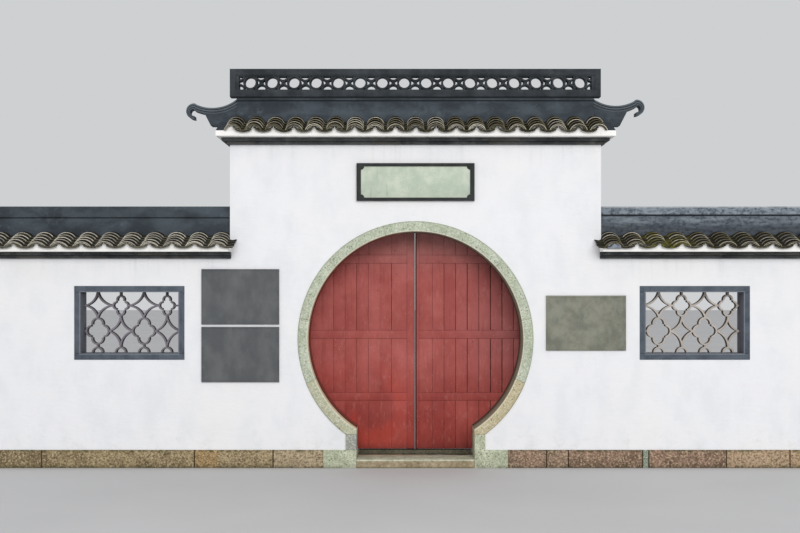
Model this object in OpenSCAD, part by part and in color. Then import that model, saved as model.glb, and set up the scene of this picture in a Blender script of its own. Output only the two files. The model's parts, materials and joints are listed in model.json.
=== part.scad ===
// Chinese garden wall with a moon gate: a tall whitewashed wall with a round, stone-lined
// doorway and two timber leaves, between two lower walls with tile-lattice windows.
// Millimetres, +Z up. The origin is on the ground below the middle of the doorway, in the
// wall's middle plane. The front faces -Y and the leaves swing open towards +Y.

/* [Walls] */
// Thickness of the rendered walls
wall_t = 340; // [300:10:420]
// Width of the tall wall round the doorway
gate_w = 3460; // [3200:20:3900]
// Height of the tall wall up to its cornice
gate_h = 3012; // [2900:2:3300]
// Height of the side walls up to their cornice
side_h = 1951; // [1850:1:2150]
// Distance from the doorway's middle to each end of the wall
wall_reach = 4000; // [3900:50:4600]
// Height of the stone plinth course
plinth_h = 168; // [120:2:200]
// How far the plinth stands out from the render
plinth_proud = 15; // [5:1:30]

/* [Moon ring] */
// Height of the ring's centre above the ground
ring_z = 1200; // [1150:5:1300]
// Clear radius inside the ring
ring_r = 1005; // [900:5:1050]
// Width of the ring's stone band
ring_band = 95; // [70:5:120]
// How far the ring stands out in front of the render
ring_proud = 8; // [3:1:25]
// Number of stones in the ring
ring_stones = 9; // [7:2:13]
// Open joint between two ring stones
ring_joint = 3; // [2:1:6]
// Bevel along the ring's clear edge in front
ring_bevel = 6; // [3:1:12]

/* [Neck and threshold] */
// Half of the clear width between the neck stones
neck_half = 550; // [480:5:600]
// Thickness of the neck stones
neck_t = 100; // [80:5:130]
// Height of the top of the neck stones
neck_top = 312; // [250:2:320]
// Distance from the doorway's middle to the outer end of a foot stone
foot_reach = 860; // [800:10:950]
// How far the foot stones and the step stand out in front of the render
foot_proud = 20; // [16:1:40]
// Height of the front step
step_h = 80; // [50:2:90]
// Depth of the front step's tread
step_d = 375; // [180:5:390]
// Height of the threshold behind the step
sill_h = 118; // [100:2:118]
// How far the threshold reaches behind the leaves
sill_back = 5; // [0:1:20]

/* [Door leaves] */
// Thickness of a door leaf
leaf_t = 45; // [35:1:60]
// Height of a leaf's lower edge above the ground
leaf_low = 124; // [123:1:150]
// Distance from the doorway's middle to a leaf's pivot axis
pivot_x = 1075; // [1070:5:1110]
// Gap between the two leaves, and round each of them
leaf_gap = 5; // [5:1:8]
// Width of one door plank
plank_w = 112; // [90:2:150]
// Width of the groove between two planks
groove_w = 4; // [2:1:6]
// Depth of the groove between two planks
groove_d = 3; // [2:1:6]
// Height of the flush battens let into the planks
batten_h = 80; // [60:2:100]
// Height of the lower battens' middle
batten_low_z = 628; // [600:2:700]
// Height of the middle battens' middle
batten_mid_z = 1228; // [1150:2:1300]
// Height of the upper battens' middle
batten_up_z = 1954; // [1850:2:2050]
// Diameter of the pivot pins
pin_d = 32; // [24:2:40]
// Length of each pivot pin
pin_l = 42; // [30:2:60]
// Clearance round a pivot pin in its socket
pin_clear = 1.5; // [1:0.5:3]
// Clearance past the end of a pivot pin
pin_end = 0.3; // [0.2:0.1:1]
// Depth of the head beam and of the pivot stones behind the wall
beam_d = 110; // [90:5:150]
// Height of the head beam
beam_h = 120; // [100:10:160]
// Length of a pivot stone along the wall
pivot_stone_l = 200; // [160:10:240]

/* [Windows] */
// Middle of the left window
window_left_x = -2668; // [-2700:4:-2600]
// Middle of the right window
window_right_x = 2604; // [2560:4:2680]
// Height of the windows' middle
window_z = 1352; // [1300:4:1400]
// Outer width of a window frame
frame_w = 1028; // [980:4:1080]
// Outer height of a window frame
frame_h = 688; // [660:4:720]
// Width of the frame's bars
frame_bar = 58; // [45:1:70]
// How far a frame stands out from the render
frame_proud = 6; // [3:1:15]
// Thickness of the tiles that form a lattice
lattice_bar = 16; // [12:1:18]
// Depth of a window lattice
lattice_t = 70; // [50:5:100]
// Distance between two columns of lattice figures
lattice_col = 218; // [214:1:220]
// Distance between two rows of lattice figures
lattice_row = 241; // [238:1:246]
// Height of the upper row of figures above the window's middle
lattice_top_row = 158; // [154:1:164]
// How far the left lattice lies to the left of its opening's middle
lattice_left_by = 9; // [0:1:14]
// How far the right lattice lies to the right of its opening's middle
lattice_right_by = 26; // [18:1:30]
// Outer radius of the half-round tiles on the sill
lattice_foot_r = 55; // [48:1:60]

/* [Copings] */
// Height of one cornice course
course_h = 31; // [24:1:40]
// How far the lower cornice course stands out
course_low_out = 30; // [20:2:45]
// How far the upper cornice course stands out
course_up_out = 70; // [56:2:84]
// How far the tiles' eaves stand out from the render
eave_out = 200; // [180:5:240]
// How far the gate's coping runs past the ends of the tall wall
verge_out = 105; // [80:5:130]
// How far the white mortar face lies behind the tile ends
fascia_back = 22; // [14:1:40]
// Thickness of the roof tiles
tile_t = 15; // [12:1:18]
// Gap between the mortar bed and the tiles on it
bed_clear = 0.5; // [0.2:0.1:0.8]
// Rise of the gate's eaves above its cornice
gate_eave_rise = 39; // [16:1:50]
// Slope of the gate's tiles in degrees
gate_slope = 23; // [18:1:32]
// Number of cover tile rows on the gate
gate_rows = 19; // [15:2:19]
// Distance between two cover tile rows on the gate
gate_pitch = 186; // [176:1:188]
// Visible width of the gate's cover tiles
gate_cover_w = 158; // [140:2:164]
// Height of the gate's cover tiles above the underside of the troughs
gate_cover_h = 69; // [62:1:80]
// Rise of the side walls' eaves above their cornice
side_eave_rise = 38; // [28:1:50]
// Slope of the side walls' tiles in degrees
side_slope = 21.4; // [18:0.2:28]
// Number of cover tile rows on each side wall
side_rows = 11; // [8:1:11]
// Distance between two cover tile rows on the side walls
side_pitch = 207; // [190:1:207]
// Distance from the tall wall to the first cover tile row beside it
side_first = 85; // [80:1:90]
// Visible width of the side walls' cover tiles
side_cover_w = 165; // [150:1:170]
// Height of the side walls' cover tiles above the underside of the troughs
side_cover_h = 57; // [52:1:70]
// How far a side coping's courses and mortar lap over the face of the tall wall
coping_lap = 12; // [4:2:40]
// How far a side coping's tiles lap over the face of the tall wall
tile_lap = 66; // [44:2:80]

/* [Ridges] */
// Thickness of the ridges
ridge_t = 150; // [120:5:180]
// Height of the gate's ridge wall above its tiles
gate_ridge_h = 118; // [100:2:140]
// Height of one moulding course on the gate's ridge
moulding_h = 14; // [10:1:24]
// Height of the recessed neck below the parapet
neck_course_h = 21; // [14:1:30]
// How far the moulding courses stand out
moulding_out = 12; // [6:1:20]
// Distance from the middle to the end of the gate's straight ridge
ridge_reach = 1680; // [1640:5:1720]
// Distance from the middle to the tip of a ridge wing
wing_reach = 2160; // [2100:10:2240]
// How far a ridge wing dips below a straight line from the ridge to its hook
wing_dip = 62; // [40:2:90]
// Height of the moulded band along a wing
wing_band = 60; // [45:1:70]
// Outer radius of the hook at a wing's tip
hook_r = 74; // [50:1:90]
// Thickness of the hook
hook_t = 38; // [24:1:44]
// How far the right wing's hook lies below the ridge's top
hook_drop_right = 7; // [0:1:60]
// How far the left wing's hook lies below the ridge's top
hook_drop_left = 42; // [0:1:60]
// Thickness of a wing's foot, outside the end of the coping
wing_foot = 93; // [40:1:110]
// How far the foot hangs below the top of the mortar bed
wing_hang = 32; // [20:1:120]
// How far the end of a wing leans outwards
wing_lean = 130; // [30:2:150]
// Height of the side ridges above their tiles
side_ridge_h = 216; // [190:1:230]
// Height of the groove in the side ridges
side_groove_h = 9; // [5:1:14]
// Depth of the groove in the side ridges
side_groove_d = 12; // [6:1:20]
// Height of the left ridge's cap band
side_cap_left_h = 104; // [90:1:120]
// Height of the right ridge's cap band
side_cap_right_h = 77; // [65:1:100]
// How far the side ridges' cap stands out
side_cap_out = 8; // [4:1:15]

/* [Parapet] */
// Distance from the middle to the end of the lattice parapet
parapet_reach = 1750; // [1720:2:1780]
// Thickness of the parapet's rails
parapet_t = 110; // [90:5:130]
// Height of the parapet's bottom rail
parapet_low_h = 69; // [55:1:85]
// Clear height between the parapet's rails
parapet_open_h = 136; // [125:1:150]
// Height of the parapet's top rail
parapet_top_h = 59; // [50:1:75]
// Width of the parapet's end posts
parapet_post = 55; // [45:1:70]
// Depth of the parapet's lattice
parapet_lattice_t = 84; // [40:2:100]
// Number of tile rings in the parapet
parapet_rings = 16; // [12:2:16]
// Distance between two tile rings
parapet_pitch = 208; // [200:1:216]
// Thickness of the parapet's tiles
parapet_bar = 18; // [9:1:24]

/* [Plates] */
// Outer width of the name plaque
plaque_w = 1098; // [1000:2:1200]
// Outer height of the name plaque
plaque_h = 350; // [300:2:400]
// How far the plaque's middle lies above the middle between ring and cornice
plaque_lift = 8; // [0:2:16]
// Thickness of the plaque
plaque_t = 32; // [20:1:45]
// How far the plaque's panel lies behind its border
plaque_sunk = 13; // [6:1:20]
// Width of the plaque's upper and lower border
plaque_rim = 29; // [20:1:40]
// Width of the plaque's side borders
plaque_side = 40; // [30:1:50]
// Radius of the plaque's hollow corners
plaque_corner = 35; // [25:1:45]
// Width of the two dark plates
notice_w = 724; // [680:2:760]
// Height of the two dark plates
notice_h = 515; // [480:1:530]
// Thickness of the dark and bronze plates
notice_t = 18; // [10:1:30]
// Width of the dark plates' raised rim
notice_rim = 14; // [8:1:24]
// Middle of the dark plates
notice_x = -1632; // [-1660:2:-1610]
// Height of the upper dark plate's middle
notice_up_z = 1596; // [1590:2:1620]
// Height of the lower dark plate's middle
notice_low_z = 1058; // [1040:2:1064]
// Width of the bronze plate
bronze_w = 744; // [700:2:780]
// Height of the bronze plate
bronze_h = 512; // [480:2:540]
// Width of the bronze plate's raised rim
bronze_rim = 20; // [12:1:30]
// How far the plates' faces lie behind their rims
plate_sunk = 4; // [2:1:8]
// Middle of the bronze plate
bronze_x = 1588; // [1570:2:1610]
// Height of the bronze plate's middle
bronze_z = 1351; // [1330:2:1370]

/* [Hidden] */
$fn = 96;

// Cutting tools reach this far past what they cut
over = 20;
front_y = -wall_t / 2;
back_y = wall_t / 2;
gate_half = gate_w / 2;
ring_out = ring_r + ring_band;
neck_out = neck_half + neck_t;

plaster = "#e8e6e2";
sage = "#b9c3ae";
plinth_stone = "#8d7a6b";
slate = "#4b5159";
tile_grey = "#6d6a66";
door_red = "#9a3a36";

// A box between two corners
module span_box(from, to) {
  translate(from) cube([to[0] - from[0], to[1] - from[1], to[2] - from[2]]);
}

// Stands a drawing made in X and Z upright, from one depth in Y to another
module upright(from_y, to_y) {
  translate([0, to_y, 0]) rotate([90, 0, 0]) linear_extrude(height = to_y - from_y) children();
}

// A copy on the right, or its mirror image on the left
module on_side(side) {
  if (side > 0) children();
  else mirror([1, 0, 0]) children();
}

// Plinth, foot stones, neck and steps

module plinth_half() {
  color(plinth_stone)
    span_box([foot_reach, front_y - plinth_proud, 0], [wall_reach, back_y + plinth_proud, plinth_h]);
}
module plinth_left() on_side(-1) plinth_half();
module plinth_right() plinth_half();

module foot_block() {
  span_box([neck_half, front_y - foot_proud, 0], [foot_reach, back_y + plinth_proud, plinth_h]);
}

module neck_block() {
  span_box([neck_half, front_y - foot_proud, plinth_h], [neck_out, back_y + plinth_proud, neck_top]);
}
module foot_stone_left() on_side(-1) color(sage) foot_block();

// The right foot stone and its neck are one L-shaped stone
module foot_stone_right() {
  color(sage) {
    foot_block();
    neck_block();
  }
}
module neck_stone_left() on_side(-1) color("#8b959c") neck_block();

module front_step() {
  color("#b3a78c")
    span_box([-neck_half, front_y - foot_proud, 0], [neck_half, front_y - foot_proud + step_d, step_h]);
}

module threshold() {
  color("#8a6f60")
    span_box([-neck_half, front_y - foot_proud + step_d, 0],
      [neck_half, leaf_front + leaf_t + sill_back, sill_h]);
}

// Moon ring: a round stone lining with a neck below

neck_angle = asin((ring_z - neck_top) / ring_out);
ring_sweep = 180 + 2 * neck_angle;

// The ring's outline in front, centred on the ring's middle
module ring_outline(inner, outer) {
  difference() {
    union() {
      circle(outer, $fn = 180);
      translate([-neck_out, neck_top - ring_z]) square([2 * neck_out, ring_out / 2]);
    }
    circle(inner, $fn = 180);
    translate([-neck_half, -ring_out - over]) square([2 * neck_half, ring_out + over]);
    translate([-ring_out - over, -ring_out - over])
      square([2 * (ring_out + over), neck_top - ring_z + ring_out + over]);
  }
}

module ring_joint_cuts() {
  for (k = [1 : ring_stones - 1])
    rotate(-neck_angle + k * ring_sweep / ring_stones)
      translate([ring_r - over, -ring_joint / 2]) square([ring_band + 2 * over, ring_joint]);
}

// Everything on the right below the first joint above the neck
module base_sector() {
  first_joint = ring_sweep / ring_stones - neck_angle;
  reach = 2 * ring_out;
  polygon([[0, 0], [reach * cos(first_joint), reach * sin(first_joint)], [reach, -reach], [0, -reach]]);
}

// Ring stones from an outline, with the bevel along their clear edge
module ring_solid() {
  color(sage) translate([0, 0, ring_z]) difference() {
    upright(front_y - ring_proud, back_y + plinth_proud) children();
    translate([0, front_y - ring_proud + ring_bevel, 0]) rotate([90, 0, 0])
      cylinder(h = 2 * ring_bevel, r1 = ring_r, r2 = ring_r + 2 * ring_bevel, $fn = 180);
  }
}

module moon_ring() {
  ring_solid() difference() {
    ring_outline(ring_r, ring_out);
    ring_joint_cuts();
    base_sector();
    mirror([1, 0]) base_sector();
  }
}

// The lowest ring stones stand on the necks
module ring_base() {
  ring_solid() difference() {
    intersection() {
      ring_outline(ring_r, ring_out);
      base_sector();
    }
    ring_joint_cuts();
  }
}
module ring_base_left() on_side(-1) ring_base();
module ring_base_right() ring_base();

// The render of the tall wall, in pieces beside and over the doorway

module gate_slab() {
  color(plaster) span_box([ring_out, front_y, plinth_h], [gate_half, back_y, gate_h]);
}
module gate_wall_left() on_side(-1) gate_slab();
module gate_wall_right() gate_slab();

module gate_wall_over() {
  color(plaster) upright(front_y, back_y) difference() {
    translate([-ring_out, ring_z]) square([2 * ring_out, gate_h - ring_z]);
    translate([0, ring_z]) circle(ring_out, $fn = 180);
  }
}

// The part of the wall below the ring's shoulder, beside the neck
module haunch() {
  color(plaster) upright(front_y, back_y) difference() {
    translate([neck_out, plinth_h]) square([ring_out - neck_out, ring_z - plinth_h]);
    translate([0, ring_z]) circle(ring_out, $fn = 180);
  }
}
module haunch_left() on_side(-1) haunch();
module haunch_right() haunch();

// Side walls and their windows

module side_wall(side, window_x) {
  color(plaster) difference() {
    on_side(side) span_box([gate_half, front_y, plinth_h], [wall_reach, back_y, side_h]);
    translate([window_x - frame_w / 2, front_y - over, window_z - frame_h / 2])
      cube([frame_w, wall_t + 2 * over, frame_h]);
  }
}
module side_wall_left() side_wall(-1, window_left_x);
module side_wall_right() side_wall(1, window_right_x);

open_w = frame_w - 2 * frame_bar;
open_h = frame_h - 2 * frame_bar;

module window_frame(window_x) {
  color("#6c757e") translate([window_x, 0, window_z])
    upright(front_y - frame_proud, lattice_t / 2) difference() {
      square([frame_w, frame_h], center = true);
      square([open_w, open_h], center = true);
    }
}
module window_frame_left() window_frame(window_left_x);
module window_frame_right() window_frame(window_right_x);

// Lattice figures: half widths and half heights up to the tiles' outer faces
small_left = [78, 98];
big_left = [112, 129];
small_right = [91, 105];
big_right = [117, 134];
bar = lattice_bar;
// Radius of a lobe against its figure's half width, and of a star's tile against its chord
lobe_ratio = 0.53;
star_ratio = 0.85;
// Thickness left where two lobes meet, against the tiles' thickness
meeting_ratio = 0.85;

// Four round lobes, as one outline
module quatrefoil(half, lobe) {
  for (way = [-1, 1]) {
    translate([way * (half[0] - lobe), 0]) circle(lobe);
    translate([0, way * (half[1] - lobe)]) circle(lobe);
  }
}

// Its tiles keep their thickness round the four corners where two lobes meet
module quatrefoil_tiles(half) {
  lobe = half[0] * lobe_ratio;
  a = half[0] - lobe;
  b = half[1] - lobe;
  apart = sqrt(a * a + b * b);
  bulge = sqrt(lobe * lobe - apart * apart / 4) / apart;
  corner = [a / 2 + b * bulge, b / 2 + a * bulge];
  difference() {
    quatrefoil(half, lobe);
    quatrefoil(half - [bar, bar], lobe - bar);
    difference() {
      square(2 * corner, center = true);
      for (way = [-1, 1])
        for (rise = [-1, 1])
          translate([way * corner[0], rise * corner[1]]) circle(bar * meeting_ratio);
    }
  }
}

// A quarter of a star: one tile curving in between the side tip and the top tip
module star_tile(reach, rise) {
  chord = sqrt(reach * reach + rise * rise);
  r = chord * star_ratio;
  away = sqrt(r * r - chord * chord / 4);
  intersection() {
    square([reach + bar / 2, rise + bar / 2]);
    translate([reach / 2 + rise / chord * away, rise / 2 + reach / chord * away]) difference() {
      circle(r + bar / 2);
      circle(r - bar / 2);
    }
  }
}

module star_tiles(reach_left, reach_right, rise_down, rise_up) {
  star_tile(reach_right, rise_up);
  mirror([1, 0]) star_tile(reach_left, rise_up);
  mirror([0, 1]) star_tile(reach_right, rise_down);
  mirror([1, 0]) mirror([0, 1]) star_tile(reach_left, rise_down);
}

// A short dab of mortar between two figures, one above the other
module dab(from_z, to_z) {
  translate([-bar / 2, from_z - bar / 2]) square([bar, to_z - from_z + bar]);
}

module lattice_drawing(small, big, shift) {
  side = open_w / 2;
  top = open_h / 2;
  low_row = lattice_top_row - lattice_row;
  foot_top = lattice_foot_r - top;
  outer_col = 1.5 * lattice_col;
  small_gap = lattice_col - small[0] + bar / 2;
  big_gap = lattice_col - big[0] + bar / 2;
  intersection() {
    square([open_w, open_h], center = true);
    translate([shift, 0]) union() {
      for (k = [0 : 3]) translate([k * lattice_col - outer_col, 0]) {
        left_up = k == 0 ? side + shift - outer_col : small_gap;
        right_low = k == 3 ? side - shift - outer_col : big_gap;
        if (k % 2 == 0) {
          translate([0, lattice_top_row])
            star_tiles(left_up, small_gap, lattice_row - big[1], top - lattice_top_row);
          translate([0, low_row]) quatrefoil_tiles(big);
          dab(low_row + big[1], low_row + big[1]);
          dab(foot_top, low_row - big[1]);
        } else {
          translate([0, lattice_top_row]) quatrefoil_tiles(small);
          translate([0, low_row])
            star_tiles(big_gap, right_low, low_row - foot_top, lattice_row - small[1]);
          dab(lattice_top_row + small[1], top);
        }
        translate([0, -top]) difference() {
          circle(lattice_foot_r);
          circle(lattice_foot_r - bar);
        }
      }
      translate([outer_col + small[0] - bar / 2, lattice_top_row - bar / 2]) square([side, bar]);
      translate([-side - shift, low_row - bar / 2])
        square([side + shift - outer_col - big[0] + bar / 2, bar]);
    }
  }
}

module window_lattice(window_x, small, big, shift) {
  color("#9a928d") translate([window_x, 0, window_z])
    upright(-lattice_t / 2, lattice_t / 2) lattice_drawing(small, big, shift);
}
module window_lattice_left()
  window_lattice(window_left_x, small_left, big_left, -lattice_left_by);
module window_lattice_right()
  window_lattice(window_right_x, small_right, big_right, lattice_right_by);

// Copings: two cornice courses, a white mortar bed, barrel tiles and a ridge

cornice_h = 2 * course_h;
eave_y = wall_t / 2 + eave_out;
ridge_half = ridge_t / 2;
slope_run = eave_y - ridge_half;
gate_eave_z = gate_h + cornice_h + gate_eave_rise;
side_eave_z = side_h + cornice_h + side_eave_rise;
// Height of the tiles' crests where they meet the ridge
gate_tile_top = gate_eave_z + slope_run * tan(gate_slope) + gate_cover_h / cos(gate_slope);
side_tile_top = side_eave_z + slope_run * tan(side_slope) + side_cover_h / cos(side_slope);
gate_coping_half = gate_half + verge_out;
side_from = gate_half - coping_lap;

// Keeps a side coping's overhang in front of and behind the tall wall only
module cut_by_gate_wall() {
  difference() {
    children();
    span_box([-gate_half, front_y, 0], [gate_half, back_y, gate_h]);
  }
}

module cornice_courses(from_x, to_x, low_z, end_step) {
  color("#7d7468")
    span_box([from_x, front_y - course_low_out, low_z],
      [to_x, back_y + course_low_out, low_z + course_h]);
  color("#5a5d61")
    span_box([from_x - end_step, front_y - course_up_out, low_z + course_h],
      [to_x + end_step, back_y + course_up_out, low_z + cornice_h]);
}

module cornice_gate() {
  cornice_courses(-gate_half - course_low_out, gate_half + course_low_out, gate_h,
    course_up_out - course_low_out);
}
module cornice_side() cut_by_gate_wall() cornice_courses(side_from, wall_reach, side_h, 0);
module cornice_left() on_side(-1) cornice_side();
module cornice_right() cornice_side();

// Lays a drawing of X and height above the slope along the slope, from the eave upwards
module along_slope(eave_z, slope, from_run, to_run) {
  translate([0, -eave_y, eave_z]) rotate([slope, 0, 0]) translate([0, to_run / cos(slope), 0])
    rotate([90, 0, 0]) linear_extrude(height = (to_run - from_run) / cos(slope)) children();
}

module both_slopes() {
  children();
  mirror([0, 1, 0]) children();
}

// Cover tiles seen end-on, down to the plane under the troughs or a root's depth below it
module cover_humps(xs, width, height, shell, root = 0) {
  rise = height - tile_t;
  r = (width * width / 4 + rise * rise) / (2 * rise);
  intersection() {
    union() for (x = xs) translate([x, height - r]) circle(r - shell);
    translate([-wall_reach, -root]) square([2 * wall_reach, 2 * height]);
  }
}

module tile_field(xs, from_x, to_x, eave_z, slope, width, height) {
  both_slopes() difference() {
    along_slope(eave_z, slope, 0, slope_run + over) difference() {
      union() {
        translate([from_x, 0]) square([to_x - from_x, tile_t]);
        cover_humps(xs, width, height, 0);
      }
      cover_humps(xs, width, height, tile_t);
    }
    span_box([from_x - over, -ridge_half, eave_z], [to_x + over, ridge_half, eave_z + eave_y]);
  }
}

module bed(xs, from_x, to_x, base_z, eave_z, slope, width, height) {
  seat_z = eave_z - bed_clear;
  top_z = seat_z + slope_run * tan(slope);
  face_y = eave_y - fascia_back;
  face_z = seat_z + fascia_back * tan(slope);
  translate([from_x, 0, 0]) rotate([90, 0, 90]) linear_extrude(height = to_x - from_x)
    polygon([[-face_y, base_z], [face_y, base_z], [face_y, face_z], [ridge_half, top_z],
      [-ridge_half, top_z], [-face_y, face_z]]);
  both_slopes() difference() {
    along_slope(seat_z, slope, fascia_back, slope_run + over)
      cover_humps(xs, width, height, tile_t + bed_clear, over);
    span_box([from_x - over, -ridge_half, top_z], [to_x + over, ridge_half, eave_z + eave_y]);
  }
}

gate_xs = [for (k = [0 : gate_rows - 1]) (k - (gate_rows - 1) / 2) * gate_pitch];
side_xs = [for (k = [0 : side_rows - 1]) gate_half + side_first + k * side_pitch];

module mortar_bed_gate() {
  color("#dcdad4") bed(gate_xs, -gate_coping_half, gate_coping_half, gate_h + cornice_h,
    gate_eave_z, gate_slope, gate_cover_w, gate_cover_h);
}
module bed_side() {
  color("#dcdad4") cut_by_gate_wall() bed(side_xs, side_from, wall_reach, side_h + cornice_h,
    side_eave_z, side_slope, side_cover_w, side_cover_h);
}
module mortar_bed_left() on_side(-1) bed_side();
module mortar_bed_right() bed_side();

module tiles_gate() {
  color(tile_grey) tile_field(gate_xs, -gate_coping_half, gate_coping_half,
    gate_eave_z, gate_slope, gate_cover_w, gate_cover_h);
}
module tiles_side() {
  color(tile_grey) cut_by_gate_wall() tile_field(side_xs, gate_half - tile_lap, wall_reach,
    side_eave_z, side_slope, side_cover_w, side_cover_h);
}
module tiles_left() on_side(-1) tiles_side();
module tiles_right() tiles_side();

// Ridges

gate_bed_top = gate_eave_z + slope_run * tan(gate_slope);
side_bed_top = side_eave_z + slope_run * tan(side_slope);
gate_wall_top = gate_tile_top + gate_ridge_h;
gate_ridge_top = gate_wall_top + 2 * moulding_h;
parapet_z = gate_ridge_top + neck_course_h;

// The ridge seen end-on: hollow sides, two moulding courses and a recessed neck
module gate_ridge_section() {
  hollow_r = gate_ridge_h;
  difference() {
    translate([-ridge_half, gate_bed_top]) square([ridge_t, gate_ridge_top - gate_bed_top]);
    for (way = [-1, 1])
      translate([way * (ridge_half + hollow_r - moulding_out), gate_tile_top + gate_ridge_h / 2])
        circle(hollow_r);
  }
  translate([-ridge_half - moulding_out, gate_wall_top + moulding_h])
    square([ridge_t + 2 * moulding_out, moulding_h]);
  translate([-parapet_t / 2 + moulding_out, gate_wall_top])
    square([parapet_t - 2 * moulding_out, parapet_z - gate_wall_top]);
}

module ridge_gate() {
  color(slate) translate([-ridge_reach, 0, 0]) rotate([90, 0, 90])
    linear_extrude(height = 2 * ridge_reach) gate_ridge_section();
}

module side_ridge(cap_h) {
  top_z = side_tile_top + side_ridge_h;
  cap_z = top_z - cap_h;
  low_z = cap_z - side_groove_h;
  groove_y = ridge_half - side_groove_d;
  color(slate) {
    span_box([gate_half, -ridge_half, side_bed_top], [wall_reach, ridge_half, low_z]);
    span_box([gate_half, -groove_y, low_z - over], [wall_reach, groove_y, cap_z + over]);
    span_box([gate_half, -ridge_half - side_cap_out, cap_z],
      [wall_reach, ridge_half + side_cap_out, top_z]);
  }
}
module ridge_left() on_side(-1) side_ridge(side_cap_left_h);
module ridge_right() side_ridge(side_cap_right_h);

// A ridge wing: a moulded band dips, rises again and hooks over at its tip
hook_x = wing_reach - hook_r;
dip_run = hook_x - ridge_reach;
wing_half = ridge_half - moulding_out;

// The upper edge is one arc from the ridge's end down and up again to the top of the hook
module wing_outline(drop) {
  foot_z = gate_bed_top - wing_hang;
  foot_x = gate_coping_half + wing_foot;
  chord = norm([dip_run, drop]);
  dip_r = (chord * chord / 4 + wing_dip * wing_dip) / (2 * wing_dip);
  dip_middle = [ridge_reach + dip_run / 2, gate_ridge_top - drop / 2]
    + [drop, dip_run] / chord * (dip_r - wing_dip);
  difference() {
    translate([ridge_reach, foot_z]) square([dip_run, gate_ridge_top - foot_z]);
    translate(dip_middle) circle(dip_r, $fn = 180);
    // past the leaning end of the body only the moulded band runs on
    difference() {
      polygon([[foot_x, foot_z - over], [wing_reach, foot_z - over], [wing_reach, gate_ridge_top],
        [foot_x + wing_lean, gate_ridge_top]]);
      translate(dip_middle) circle(dip_r + wing_band, $fn = 180);
    }
    // the body sits on the coping's bed and hangs a little past its end
    translate([ridge_reach - over, foot_z - over])
      square([gate_coping_half - ridge_reach + over, wing_hang + over]);
  }
  // the hook, a round bar open below on its inner side
  translate([hook_x, gate_ridge_top - drop - hook_r]) difference() {
    circle(hook_r);
    circle(hook_r - hook_t);
    translate([-2 * hook_r, -2 * hook_r]) square([2 * hook_r, 2 * hook_r]);
  }
}

module ridge_wing(drop) {
  color(slate) upright(-wing_half, wing_half) wing_outline(drop);
}
module ridge_wing_left() on_side(-1) ridge_wing(hook_drop_left);
module ridge_wing_right() ridge_wing(hook_drop_right);

// Parapet of tile rings on the ridge

rail_half = parapet_reach - parapet_post;
parapet_mid = parapet_z + parapet_low_h + parapet_open_h / 2;
ring_half = parapet_open_h / 2;
// Neighbouring arcs overlap by this much
arc_lap = 2;

module parapet_frame() {
  color(slate) upright(-parapet_t / 2, parapet_t / 2) difference() {
    translate([-parapet_reach, parapet_z])
      square([2 * parapet_reach, parapet_low_h + parapet_open_h + parapet_top_h]);
    translate([-rail_half, parapet_z + parapet_low_h]) square([2 * rail_half, parapet_open_h]);
  }
}

// Two half-round tiles back to back between neighbouring rings
module tile_pair() {
  arc_r = sqrt(pow(parapet_pitch / 2, 2) + pow(ring_half, 2)) - ring_half + arc_lap;
  for (way = [0, 1]) mirror([0, way]) {
    translate([0, ring_half]) difference() {
      circle(arc_r);
      circle(arc_r - parapet_bar);
    }
    translate([-parapet_bar, 0]) square([2 * parapet_bar, ring_half - arc_r + parapet_bar]);
  }
}

module parapet_lattice() {
  first_x = -(parapet_rings - 1) / 2 * parapet_pitch;
  color("#3e4246") translate([0, 0, parapet_mid]) upright(-parapet_lattice_t / 2, parapet_lattice_t / 2)
    intersection() {
      square([2 * rail_half, parapet_open_h], center = true);
      union() {
        for (k = [0 : parapet_rings - 1]) translate([first_x + k * parapet_pitch, 0]) difference() {
          circle(ring_half);
          circle(ring_half - parapet_bar);
        }
        for (k = [-1 : parapet_rings - 1])
          translate([first_x + (k + 0.5) * parapet_pitch, 0]) tile_pair();
      }
    }
}

// Plaque over the ring and plates beside it

module plaque_outline(w, h) {
  difference() {
    square([w, h], center = true);
    for (x = [-w / 2, w / 2], z = [-h / 2, h / 2]) translate([x, z]) circle(plaque_corner);
  }
}

plaque_z = (ring_z + ring_out + gate_h) / 2 + plaque_lift;
panel_w = plaque_w - 2 * plaque_side;
panel_h = plaque_h - 2 * plaque_rim;

module plaque_frame() {
  color("#3b3f42") translate([0, 0, plaque_z]) upright(front_y - plaque_t, front_y) difference() {
    plaque_outline(plaque_w, plaque_h);
    plaque_outline(panel_w, panel_h);
  }
}

module plaque_panel() {
  color("#a9b59c") translate([0, 0, plaque_z])
    upright(front_y - plaque_t + plaque_sunk, front_y) plaque_outline(panel_w, panel_h);
}

// A plate with a raised rim, its back on the render
module plate(w, h, rim) {
  difference() {
    upright(front_y - notice_t, front_y) square([w, h], center = true);
    upright(front_y - notice_t - over, front_y - notice_t + plate_sunk)
      square([w - 2 * rim, h - 2 * rim], center = true);
  }
}

module notice_plates() {
  color("#3a3f45") for (z = [notice_low_z, notice_up_z])
    translate([notice_x, 0, z]) plate(notice_w, notice_h, notice_rim);
}
module bronze_plate() {
  color("#6f6044") translate([bronze_x, 0, bronze_z]) plate(bronze_w, bronze_h, bronze_rim);
}

// Door leaves on timber pivots behind the wall

leaf_front = back_y + plinth_proud + leaf_gap;
pivot_y = leaf_front + leaf_t / 2;
leaf_top = ring_z + ring_out;
leaf_meet = leaf_gap / 2;
stone_top = leaf_low - leaf_gap;
beam_low = leaf_top + leaf_gap;

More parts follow.
